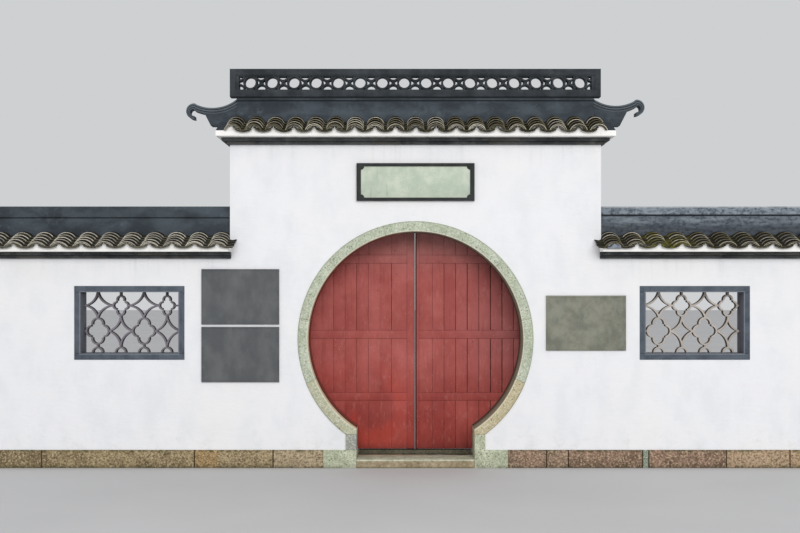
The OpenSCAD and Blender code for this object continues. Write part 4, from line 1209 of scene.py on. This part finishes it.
def tile_slopes(first_x, rows, pitch, eave_z, slope, width, height, courses, seed, side=0):
    """Cover and trough tiles on both slopes of one coping, with one more tile under each cover and
    each trough at the eave. On a side coping (side -1 or 1) part troughs fill up to the tall wall
    and the cut end."""
    rise = height - TILE_T
    cover_r = (width * width / 4 + rise * rise) / (2 * rise)
    cover_angle = math.acos((cover_r - height + COVER_LIP) / cover_r)
    reach = (pitch * pitch / 4 + TROUGH_DIP * TROUGH_DIP) / (2 * TROUGH_DIP)
    trough_r = reach - TILE_THICK
    trough_angle = math.asin((pitch / 2 - TROUGH_GAP) / reach)
    exposed = SLOPE_LENGTH / courses
    length = TILE_OVERLAP * exposed
    inward, upward = exposed * math.cos(slope), exposed * math.sin(slope)
    cover_lift, trough_lift = LIFT_SHARE * exposed, TILE_THICK + 0.0005
    meshes = []

    def put(face, count, high, x, out, radius, drop, angles, hollow_down, long, lift, start=0):
        """Rows of one tile on the slope that faces -Y or +Y, out past the eave, from a course up."""
        form = tile_form(radius, drop, angles[0], angles[1], hollow_down, slope, exposed, long, lift)
        if face > 0:
            half_turn = Matrix.Rotation(math.pi, 3, "Z")
            bmesh.ops.rotate(form, verts=form.verts, cent=(0, 0, 0), matrix=half_turn)
        begin = (x, face * (EAVE_Y + out - start * inward), eave_z + start * upward)
        meshes.append(lay(form, "roof", count, high, begin, (pitch, 0, 0), (0, -face * inward, upward),
            shift=TILE_SHIFT, turn=TILE_TURN, seed=seed + len(meshes)))

    def trough(face, count, high, x, low_x=-1.0, high_x=1.0, start=0):
        """Troughs, cut at low_x and high_x from their middle."""
        ends = [max(-trough_angle, min(trough_angle, math.asin(u))) for u in (low_x, high_x)]
        if face > 0:
            ends = [-ends[1], -ends[0]]
        put(face, count, high, x, TROUGH_OUT, trough_r, TILE_THICK, ends, False, length, trough_lift,
            start)
        if start == 0:
            put(face, count, 1, x, UNDER_TROUGH_OUT, trough_r, TILE_THICK - 0.011,
                [0.8 * end for end in ends], False, UNDER_TROUGH_LONG, cover_lift)

    for face in (-1, 1):
        put(face, rows, courses, first_x, COVER_OUT, cover_r, height, (-cover_angle, cover_angle),
            True, length, cover_lift)
        under = 0.96 * cover_angle
        put(face, rows, 1, first_x, UNDER_COVER_OUT, cover_r - TILE_THICK, height - TILE_THICK - 0.002,
            (-under, under), True, UNDER_COVER_LONG, cover_lift)
        trough(face, rows - 1, courses, first_x + pitch / 2)
        if side:
            near, far = first_x - pitch / 2, first_x + (rows - 0.5) * pitch
            if side < 0:
                near, far = far, near
            wall = (side * GATE_HALF - near) / reach + side * 0.001
            lap = (side * (GATE_HALF - TILE_LAP) - near) / reach
            end = (side * WALL_REACH - far) / reach
            for x, high, start, cut, whole in ((near, LAPPED, 0, lap, side),
                                               (near, courses - LAPPED, LAPPED, wall, side),
                                               (far, courses, 0, end, -side)):
                low_x, high_x = sorted((cut, 1.0 * whole))
                trough(face, 1, high, x, low_x, high_x, start)
    return meshes


def cover_plug():
    """Mortar that fills the end of the first cover right of the tall wall."""
    outline = [(SIDE_FIRST + u, SIDE_EAVE_Z - PLUG_DROP + PLUG_FLAT * v)
               for u, v in arc((0, 0), PLUG_R, 0, 180, 14)]
    show_slab("cover_plug", outline, -EAVE_Y - PLUG_OUT, -EAVE_Y + PLUG_IN, 0.005,
        "grey_mortar", "white_mortar")


def roofs():
    gate = tile_slopes(-(GATE_ROWS - 1) / 2 * GATE_PITCH, GATE_ROWS, GATE_PITCH, GATE_EAVE_Z, GATE_SLOPE,
        GATE_COVER_W, GATE_COVER_H, GATE_COURSES, 40)
    joined("roof_tiles_gate", gate, "roof", "roof_tile", "tiles_gate", soften=40)
    for name, first, seed in (("left", -SIDE_FIRST - (SIDE_ROWS - 1) * SIDE_PITCH, 60),
                              ("right", SIDE_FIRST, 80)):
        meshes = tile_slopes(first, SIDE_ROWS, SIDE_PITCH, SIDE_EAVE_Z, SIDE_SLOPE, SIDE_COVER_W,
            SIDE_COVER_H, SIDE_COURSES, seed, SIDES[name])
        joined(f"roof_tiles_{name}", meshes, "roof", "roof_tile", f"tiles_{name}", soften=40)
    cover_plug()


# Ridges: the tops of mortar beds and tiles under them, and the ridges' own mouldings

BED_TOP = GATE_EAVE_Z + SLOPE_RUN * math.tan(GATE_SLOPE)
TILE_TOP = BED_TOP + GATE_COVER_H / math.cos(GATE_SLOPE)
SIDE_BED_TOP = SIDE_EAVE_Z + SLOPE_RUN * math.tan(SIDE_SLOPE)
SIDE_TOP = SIDE_BED_TOP + SIDE_COVER_H / math.cos(SIDE_SLOPE)
BED_GAP = 0.0005
HOLLOW_H, HOLLOW_D = 0.118, 0.012
RIDGE_REACH, RIDGE_TOP = span("ridge_gate", "x")[1], span("ridge_wing_right", "z")[1]
FILLET_OUT, CAP_OUT, RIDGE_NECK = 0.004, 0.012, 0.043
SIDE_RIDGE_H, SIDE_GROOVE = 0.216, 0.009
SIDE_CAP_H = {"left": 0.104, "right": 0.077}
PARAPET_LOW, PARAPET_TOP = span("parapet_frame", "z")


def both_sides(points):
    """A half profile of (depth, height) from the bottom up, closed with its mirror image."""
    return points + [(-y, z) for y, z in reversed(points)]


def gate_ridge():
    """A hollow face, a fillet and a cap, and the neck under the parapet."""
    hollow = [(RIDGE_HALF - HOLLOW_D * math.sin(math.pi * i / 8), TILE_TOP + HOLLOW_H * i / 8)
              for i in range(9)]
    top = TILE_TOP + HOLLOW_H
    fillet, cap = RIDGE_HALF + FILLET_OUT, RIDGE_HALF + CAP_OUT
    profile = [(RIDGE_HALF, BED_TOP + BED_GAP), (RIDGE_HALF, TILE_TOP - 0.01)] + hollow + [
        (RIDGE_HALF, top + 0.002), (fillet, top + 0.004), (fillet, top + 0.012), (cap, top + 0.0155),
        (cap, RIDGE_TOP - 0.001), (RIDGE_NECK, RIDGE_TOP + 0.001), (RIDGE_NECK, PARAPET_LOW)]
    show_slab("ridge_moulded_gate", both_sides(profile), -RIDGE_REACH, RIDGE_REACH, 0.0015, "ridge",
        "ridge_render", "ridge_gate", along="x")


def side_ridges():
    """A plain face, a groove and a cap."""
    top = SIDE_TOP + SIDE_RIDGE_H
    sunk = RIDGE_HALF - 0.012
    for name, side in SIDES.items():
        cap = top - SIDE_CAP_H[name]
        low = cap - SIDE_GROOVE
        profile = [(RIDGE_HALF, SIDE_BED_TOP + BED_GAP), (RIDGE_HALF, low - 0.003),
                   (RIDGE_HALF - 0.004, low), (sunk, low), (sunk, cap), (RIDGE_HALF + 0.004, cap),
                   (RIDGE_HALF + 0.008, cap + 0.004), (RIDGE_HALF + 0.008, top - 0.01),
                   (RIDGE_HALF + 0.002, top)]
        low_x, high_x = sorted((side * GATE_HALF, side * WALL_REACH))
        show_slab(f"ridge_moulded_{name}", both_sides(profile), low_x, high_x, 0.002, "ridge",
            "ridge_render", f"ridge_{name}", along="x")


# Wings

WING_REACH = span("ridge_wing_right", "x")[1]
HOOK_R, HOOK_T, WING_DIP, WING_BAND = 0.074, 0.038, 0.062, 0.06
WING_FOOT_X, WING_HANG, WING_LEAN, WING_HALF = 1.928, 0.032, 0.13, 0.056
WING_STEPS = 22
# Where the upper edge gives way to the hook, the hook's first angle and its turn, how fast it thins
WING_SHARE, HOOK_START, HOOK_TURN, HOOK_TAPER = 0.86, 97, 190, 1.6
HOOK_DROP = {"left": 0.042, "right": 0.007}
# Strips along a wing's edge: start and end as shares of the band, half thickness and tone; the tone
# paints the proud strips lighter, as a painted highlight, and the sunk ones dark, as painted shade
WING_STRIPS = ((0.0, 0.26, 0.063, 1.0), (0.26, 0.36, 0.056, 0.0), (0.36, 0.62, 0.061, 0.9),
               (0.62, 0.72, 0.054, 0.0), (0.72, 1.0, 0.059, 0.8))


def wing_path(drop):
    """Points, outward directions and band thickness along the wing's upper edge, up to the hook's tip."""
    run = WING_REACH - HOOK_R - RIDGE_REACH
    chord = math.hypot(run, drop)
    radius = (chord * chord / 4 + WING_DIP ** 2) / (2 * WING_DIP)
    middle = Vector((RIDGE_REACH + run / 2, RIDGE_TOP - drop / 2))
    middle += Vector((drop, run)) / chord * (radius - WING_DIP)
    half = math.degrees(math.asin(chord / 2 / radius))
    lowest = 270 - math.degrees(math.atan2(drop, run))
    path = []
    for point in arc(middle, radius, lowest - half, lowest + half * WING_SHARE, WING_STEPS):
        path.append((Vector(point), (middle - Vector(point)).normalized(), WING_BAND))
    hub = Vector((WING_REACH - HOOK_R, RIDGE_TOP - drop - HOOK_R))
    for i in range(WING_STEPS + 1):
        angle = math.radians(HOOK_START - HOOK_TURN * i / WING_STEPS)
        away = Vector((math.cos(angle), math.sin(angle)))
        thick = WING_BAND + (HOOK_T * 0.8 - WING_BAND) * min(1, HOOK_TAPER * i / WING_STEPS)
        path.append((hub + away * HOOK_R, away, thick))
    return path


def below(path, share):
    """Points at a share of the band's thickness below the wing's edge."""
    return [tuple(point - away * (share * thick)) for point, away, thick in path]


def wing(name):
    path = wing_path(HOOK_DROP[name])
    foot_z, bed_z = BED_TOP - WING_HANG, BED_TOP + BED_GAP
    lean = WING_LEAN / (RIDGE_TOP - foot_z)
    kept = [point for point in below(path[:WING_STEPS + 1], 0.8)
            if point[0] < WING_FOOT_X + lean * (point[1] - foot_z)]
    end_z = kept[-1][1]
    wall_x = GATE_COPING_HALF + 0.001
    body = [(RIDGE_REACH, bed_z)] + kept + [(WING_FOOT_X + lean * (end_z - foot_z), end_z),
        (WING_FOOT_X, foot_z), (wall_x, foot_z), (wall_x, bed_z)]
    form = new_form()
    slab(form, body, -WING_HALF, WING_HALF)
    for start, end, half_y, tone in WING_STRIPS:
        slab(form, below(path, start) + below(path, end)[::-1], -half_y, half_y, 0.0025, tone)
    if name == "left":
        form = flipped(form)
    show(f"wing_moulded_{name}", form, "ridge", "ridge_render", f"ridge_wing_{name}")


# Parapet

PARAPET_REACH, PARAPET_HALF = span("parapet_frame", "x")[1], span("parapet_frame", "y")[1]
OPENWORK_REACH = span("parapet_lattice", "x")[1]
PARAPET_PITCH, PARAPET_RINGS, PARAPET_BAR = 0.208, 16, 0.018
RAIL_LOW, RAIL_HIGH = span("parapet_lattice", "z")
LIP_END, LIP_TOP, LIP_IN, LIP_HALF = 0.032, 0.013, 0.002, 0.047
RING_HALF, QUARTER_HALF, STUB_HALF = 0.042, 0.041, 0.036


def parapet():
    """Rails and posts round rings in a row, with quarter arcs above and below between them."""
    mesh = holed_slab("parapet", [rectangle(-PARAPET_REACH, PARAPET_LOW, PARAPET_REACH, PARAPET_TOP),
        rectangle(-OPENWORK_REACH, RAIL_LOW, OPENWORK_REACH, RAIL_HIGH)],
        -PARAPET_HALF, PARAPET_HALF, 0.004)
    show_mesh("parapet_rails", mesh, "parapet", "ridge_render", "parapet_frame")
    half, middle = (RAIL_HIGH - RAIL_LOW) / 2, (RAIL_HIGH + RAIL_LOW) / 2
    first = -(PARAPET_RINGS - 1) / 2 * PARAPET_PITCH
    arc_r = math.hypot(PARAPET_PITCH / 2, half) - half + 0.002
    hoop, pair, ends = new_form(), new_form(), new_form()
    for start in (0, 180):
        slab(hoop, curved_bar((0, 0), half, PARAPET_BAR, start, start + 180, 16),
            -RING_HALF, RING_HALF, steps=1)
    for way in (1, -1):
        quarters = [curved_bar((0, half), arc_r, PARAPET_BAR, start, start + 90, 9)
                    for start in (180, 270)]
        for quarter in quarters:
            slab(pair, [(u, way * v) for u, v in quarter], -QUARTER_HALF, QUARTER_HALF, steps=1)
        stub = rectangle(-PARAPET_BAR, 0, PARAPET_BAR, half - arc_r + PARAPET_BAR)
        slab(pair, [(u, way * v) for u, v in stub], -STUB_HALF, STUB_HALF, 0.002, steps=1)
        end_x = way * (PARAPET_PITCH / 2 - first)
        for flip in (1, -1):
            slab(ends, [(end_x + way * u, middle + flip * v) for u, v in quarters[0]],
                -QUARTER_HALF, QUARTER_HALF, steps=1)
    step = (PARAPET_PITCH, 0, 0)
    rings = lay(hoop, "parapet", PARAPET_RINGS, 1, (first, 0, middle), step,
        shift=(0.0012, 0.0015, 0), seed=5)
    pairs = lay(pair, "parapet", PARAPET_RINGS - 1, 1, (first + PARAPET_PITCH / 2, 0, middle), step,
        shift=(0.0008, 0.0015, 0), seed=6)
    lip = new_form()
    side, end = OPENWORK_REACH - LIP_END, OPENWORK_REACH + LIP_IN
    for low_x, high_x, low_z in ((-end, -side, RAIL_LOW - LIP_IN), (side, end, RAIL_LOW - LIP_IN),
                                 (-side, side, RAIL_HIGH - LIP_TOP)):
        box(lip, (low_x, -LIP_HALF, low_z), (high_x, LIP_HALF, RAIL_HIGH + LIP_IN))
    show("parapet_lip", lip, "parapet", "ridge_render")
    joined("parapet_tiles", [rings, pairs, meshed(ends)], "parapet", "parapet_tile", "parapet_lattice",
        soften=35)


# Plaque and plates

PLAQUE_Z = midway("plaque_frame", "z")
PLAQUE_W, PLAQUE_T, PLAQUE_H = (extent("plaque_frame", axis) for axis in "xyz")
PANEL_W, PANEL_T, PANEL_H = (extent("plaque_panel", axis) for axis in "xyz")
PANEL_CORNER = 0.03
PLATE_T, PLATE_SUNK = extent("bronze_plate", "y"), 0.004
# Middle and half sizes of the plates, and the width of their rims
DARK_PLATES = ((-1.632, 1.058, 0.362, 0.2575, 0.014), (-1.632, 1.596, 0.362, 0.2575, 0.014))
BRONZE_PLATE = (midway("bronze_plate", "x"), midway("bronze_plate", "z"),
    extent("bronze_plate", "x") / 2, extent("bronze_plate", "z") / 2, 0.02)


def hollow_rectangle(half_w, half_h, corner):
    """A rectangle on the plaque's middle, its corners cut by quarter circles."""
    points = []
    for x, z, start in ((half_w, -half_h, 180), (half_w, half_h, 270),
                        (-half_w, half_h, 0), (-half_w, -half_h, 90)):
        points += arc((x, PLAQUE_Z + z), corner, start, start - 90, 8)
    return points


def plaque():
    outer = rectangle(-PLAQUE_W / 2, PLAQUE_Z - PLAQUE_H / 2, PLAQUE_W / 2, PLAQUE_Z + PLAQUE_H / 2)
    inner = hollow_rectangle(PANEL_W / 2, PANEL_H / 2, PANEL_CORNER)
    border = holed_slab("border", [outer, inner], FRONT - PLAQUE_T, FRONT, 0.003)
    show_mesh("plaque_border", border, "plaque_border", "plaque_border", "plaque_frame")
    gap = 0.0005
    face = hollow_rectangle(PANEL_W / 2 - gap, PANEL_H / 2 - gap, PANEL_CORNER + gap)
    show_slab("plaque_face", face, FRONT - PANEL_T, FRONT, 0.001, "plaque", "plaque_face", "plaque_panel")


def rimmed_plate(x, z, half_w, half_h, rim):
    """A plate with a raised rim; its field is bare."""
    field_w, field_h = half_w - rim, half_h - rim
    rim_mesh = holed_slab("rim", [rectangle(x - half_w, z - half_h, x + half_w, z + half_h),
        rectangle(x - field_w, z - field_h, x + field_w, z + field_h)], FRONT - PLATE_T, FRONT, 0.002)
    form = new_form()
    lap = 0.001
    box(form, (x - field_w - lap, FRONT - PLATE_T + PLATE_SUNK, z - field_h - lap),
        (x + field_w + lap, FRONT, z + field_h + lap), 0)
    return [rim_mesh, meshed(form)]


def plates():
    slate = [mesh for plate in DARK_PLATES for mesh in rimmed_plate(*plate)]
    joined("slate_plates", slate, "dark_plate", "dark_plate", "notice_plates")
    joined("bronze_sheet", rimmed_plate(*BRONZE_PLATE), "bronze", "bronze_patina", "bronze_plate")


# Door leaves

LEAF_FRONT, LEAF_BACK = span("door_leaf_right", "y")
LEAF_T = extent("door_leaf_right", "y")
PIVOTS = {joint["child"]: joint["pos_m"] for joint in frame["joints"]}
PIVOT_X, PIVOT_Y, LEAF_LOW = PIVOTS["right_leaf"]
LEAF_TOP = 2.3
PIN_D, PIN_L, PIN_ROOT = 0.032, 0.042, 0.02
PLANK_W, MEET, SEAM = 0.112, 0.0025, 0.0009
BATTENS = ((0.588, 0.668), (1.188, 1.268), (1.914, 1.994))
STILES = {"left": 0.076, "right": 0.037}
# First joint beyond the stile, from the middle; the next ones follow at the planks' width
FIRST_JOINT = {"left": 0.2265, "right": 0.168}
# How open each joint beyond the stile is, in seams; most of the left leaf's are painted shut
OPEN_JOINTS = {"left": (1.5, 0.2, 1.4, 1.4, 0.8, 1.0, 0.2, 0.2),
               "right": (0.8, 1.3, 1.9, 2.9, 2.2, 3.1, 3.2, 1.9)}
# The share of that in each level between the battens, from the lowest up
OPEN_LEVELS = {"left": (0.25, 0.8, 1.2, 0.6), "right": (0.85, 1.1, 1.25, 0.7)}
# How open the joints along each batten are, then those along the stile and the pivot
OPEN_BATTENS = {"left": (0.25, 0.25, 0.9), "right": (0.5, 0.5, 0.9)}
STILE_OPEN, PIVOT_OPEN, LEAST_BOARD = 0.4, 0.2, 0.02
CORE_EDGE, CORE_SUNK = 0.004, 0.006
# A board's least arris, how unevenly boards lie, and how much the joints' widths vary
BOARD_ARRIS, BOARD_UNEVEN, OPEN_SPREAD = 0.0006, 0.0012, (0.75, 1.2)


def leaf(name):
    """The meeting stile, planks between the battens, the battens let in flush, and the pivot with
    its pins; a dark core shows in the joints."""
    side, body = SIDES[name], f"{name}_leaf"
    dice = random.Random({"left": 3, "right": 4}[name])
    form = new_form()
    levels = [LEAF_LOW] + [z for pair in BATTENS for z in pair] + [LEAF_TOP]

    def board(low_x, high_x, low_z, high_z, sunk=0.0, low_open=1.0, high_open=1.0):
        left, right = sorted((side * (low_x + SEAM * low_open), side * (high_x - SEAM * high_open)))
        box(form, (left, LEAF_FRONT + sunk, low_z + SEAM), (right, LEAF_BACK - sunk, high_z - SEAM),
            BOARD_ARRIS * (1 + min(2.0, low_open + high_open)), dice.random())

    stile_x = MEET + STILES[name]
    board(MEET - SEAM, stile_x, LEAF_LOW - SEAM, LEAF_TOP + SEAM)
    edges = [stile_x, FIRST_JOINT[name]]
    while edges[-1] + PLANK_W < PIVOT_X - LEAST_BOARD:
        edges.append(edges[-1] + PLANK_W)
    edges.append(PIVOT_X)
    for low_z, high_z, share in zip(levels[::2], levels[1::2], OPEN_LEVELS[name]):
        opened = [share * width * dice.uniform(*OPEN_SPREAD) for width in OPEN_JOINTS[name]]
        opened = [STILE_OPEN] + opened[:len(edges) - 2] + [PIVOT_OPEN]
        for low_x, high_x, low_open, high_open in zip(edges, edges[1:], opened, opened[1:]):
            board(low_x, high_x, low_z, high_z, dice.uniform(0, BOARD_UNEVEN), low_open, high_open)
    for (low_z, high_z), opened in zip(BATTENS, OPEN_BATTENS[name]):
        board(stile_x, PIVOT_X, low_z, high_z, 0.0, opened, opened)
    for radius, low, high in ((LEAF_T / 2, LEAF_LOW, LEAF_TOP),
                              (PIN_D / 2, LEAF_LOW - PIN_L, LEAF_LOW + PIN_ROOT),
                              (PIN_D / 2, LEAF_TOP - PIN_ROOT, LEAF_TOP + PIN_L)):
        outline = arc((side * PIVOT_X, PIVOT_Y), radius, 0, 360, 24)[:-1]
        slab(form, outline, low, high, 0, along="z")
    show(f"leaf_planks_{name}", form, "red", "red_paint", f"door_leaf_{name}", body=body)
    core = new_form()
    left, right = sorted((side * (MEET + CORE_EDGE), side * (PIVOT_X - CORE_EDGE)))
    box(core, (left, LEAF_FRONT + CORE_SUNK, LEAF_LOW + CORE_EDGE),
        (right, LEAF_BACK - CORE_SUNK, LEAF_TOP - CORE_EDGE), 0)
    show(f"leaf_joints_{name}", core, "joint_dark", "red_paint", body=body)


BEAM_HALF, BEAM_BACK = span("door_head_beam", "x")[1], span("door_head_beam", "y")[1]
BEAM_LOW, BEAM_TOP = span("door_head_beam", "z")
BLOCK_HALF, BLOCK_TOP = 0.1, span("pivot_stones", "z")[1]


def beam_and_pivots():
    """What the leaves' pivots turn in, behind the wall."""
    show_slab("head_beam", rectangle(-BEAM_HALF, BEAM_LOW, BEAM_HALF, BEAM_TOP), BACK, BEAM_BACK,
        0.006, "beam", "beam_timber", "door_head_beam")
    form = new_form()
    for x in (-PIVOT_X, PIVOT_X):
        box(form, (x - BLOCK_HALF, BACK + BACK_PROUD, 0), (x + BLOCK_HALF, BEAM_BACK, BLOCK_TOP),
            0.006, 0.7)
    show("pivot_blocks", form, "pale_green", "grey_green_stone", "pivot_stones")


FINISHES = {
    "render": white_render(), "ring": ring_stone(), "pale_green": pale_green_stone(),
    "plinth": plinth_stone(), "step": step_stone(), "frame": frame_stone(),
    "lattice": lattice_clay(), "cornice": cornice_brick(), "grey_mortar": grey_mortar(),
    "mortar_gate": white_mortar("white_mortar_gate", GATE_EAVE_Z, GATE_SLOPE),
    "mortar_side": white_mortar("white_mortar_side", SIDE_EAVE_Z, SIDE_SLOPE),
    "roof": roof_clay(), "ridge": ridge_render(), "parapet": parapet_paint(), "plaque": plaque_stone(),
    "plaque_border": dark_slate("plaque_border", (26, 29, 28), (46, 49, 48), 0.7),
    "dark_plate": dark_slate("dark_plate", (77, 80, 82), (95, 97, 98), 0.5),
    "bronze": bronze(), "red": red_paint(), "beam": beam_paint(), "joint_dark": joint_dark(),
    "joint_mortar": joint_mortar(), "joint_soil": joint_soil(),
    "neck": speckled_stone("neck_stone", (168, 168, 158), (140, 142, 134), (150, 150, 140),
        (98, 102, 100), 0.45).done(),
    "filler": speckled_stone("filler_stone", (152, 160, 142), (122, 132, 116), (150, 140, 118),
        (84, 90, 76)).done(),
}

# Nodes that keep their own shape
PLAIN_NODES = {
    "render": ("gate_wall_left", "gate_wall_right", "gate_wall_over", "haunch_left", "haunch_right",
               "side_wall_left", "side_wall_right"),
    "mortar_gate": ("mortar_bed_gate",),
    "mortar_side": ("mortar_bed_left", "mortar_bed_right"),
}


def finish_node(node, finish):
    if not node.data.materials:
        node.data.materials.append(finish)
    for slot in node.material_slots:
        slot.link = "OBJECT"
        slot.material = finish


for finish_name, node_names in PLAIN_NODES.items():
    for node_name in node_names:
        finish_node(nodes[node_name], FINISHES[finish_name])
for side_name in SIDES:
    plinth_course(side_name)
foot_and_neck()
step_and_threshold()
ring()
for side_name in SIDES:
    window_frame(side_name)
    window_lattice(side_name)
cornices()
roofs()
gate_ridge()
side_ridges()
for side_name in SIDES:
    wing(side_name)
parapet()
plaque()
plates()
for side_name in SIDES:
    leaf(side_name)
beam_and_pivots()

# Floor, light and camera

FLOOR_REACH = 60.0


def studio():
    """A pale floor, a pale sky that lights more softly than it looks, and one broad lamp in front."""
    mesh = bpy.data.meshes.new("floor")
    corners = rectangle(-FLOOR_REACH, -FLOOR_REACH, FLOOR_REACH, FLOOR_REACH)
    mesh.from_pydata([(x, y, 0) for x, y in corners], [], [(0, 1, 2, 3)])
    floor = placed("floor", mesh)
    f = Finish("floor_paint", 0.9, 0.1)
    f.base(f.noise(0.6, 2, 0.55).ramp(0.3, 0.7), (196, 196, 196), (200, 200, 200))
    mesh.materials.append(f.done())
    world = bpy.data.worlds.new("studio")
    world.use_nodes = True
    tree = world.node_tree
    tree.nodes.clear()
    light = add_node(tree, "ShaderNodeBackground", {}, {"Color": (0.97, 0.98, 1.0, 1), "Strength": 0.7})
    seen = add_node(tree, "ShaderNodeBackground", {}, {"Color": rgb(206, 208, 210)})
    rays = add_node(tree, "ShaderNodeLightPath", {}, {})
    mix = add_node(tree, "ShaderNodeMixShader", {},
        {0: rays.outputs["Is Camera Ray"], 1: light.outputs[0], 2: seen.outputs[0]})
    add_node(tree, "ShaderNodeOutputWorld", {}, {"Surface": mix.outputs[0]})
    bpy.context.scene.world = world
    lamp = bpy.data.lights.new("sky_panel", "AREA")
    lamp.energy = 2800
    lamp.shape = "RECTANGLE"
    lamp.size, lamp.size_y = 16, 9
    panel = placed("sky_panel", lamp)
    panel.location = (2.5, -22, 10)
    panel.rotation_euler = (Vector((0, 0, 1.6)) - panel.location).to_track_quat("-Z", "Y").to_euler()


def camera():
    lens = bpy.data.cameras.new("camera")
    lens.lens = 50
    lens.sensor_width = 36
    lens.shift_y = 0.0206
    lens.clip_end = 200
    eye = placed("camera", lens)
    eye.location = (-0.1445, -10.53, 1.724)
    eye.rotation_euler = (math.radians(90), 0, 0)
    bpy.context.scene.camera = eye


studio()
camera()
bpy.context.scene.view_settings.view_transform = "Standard"
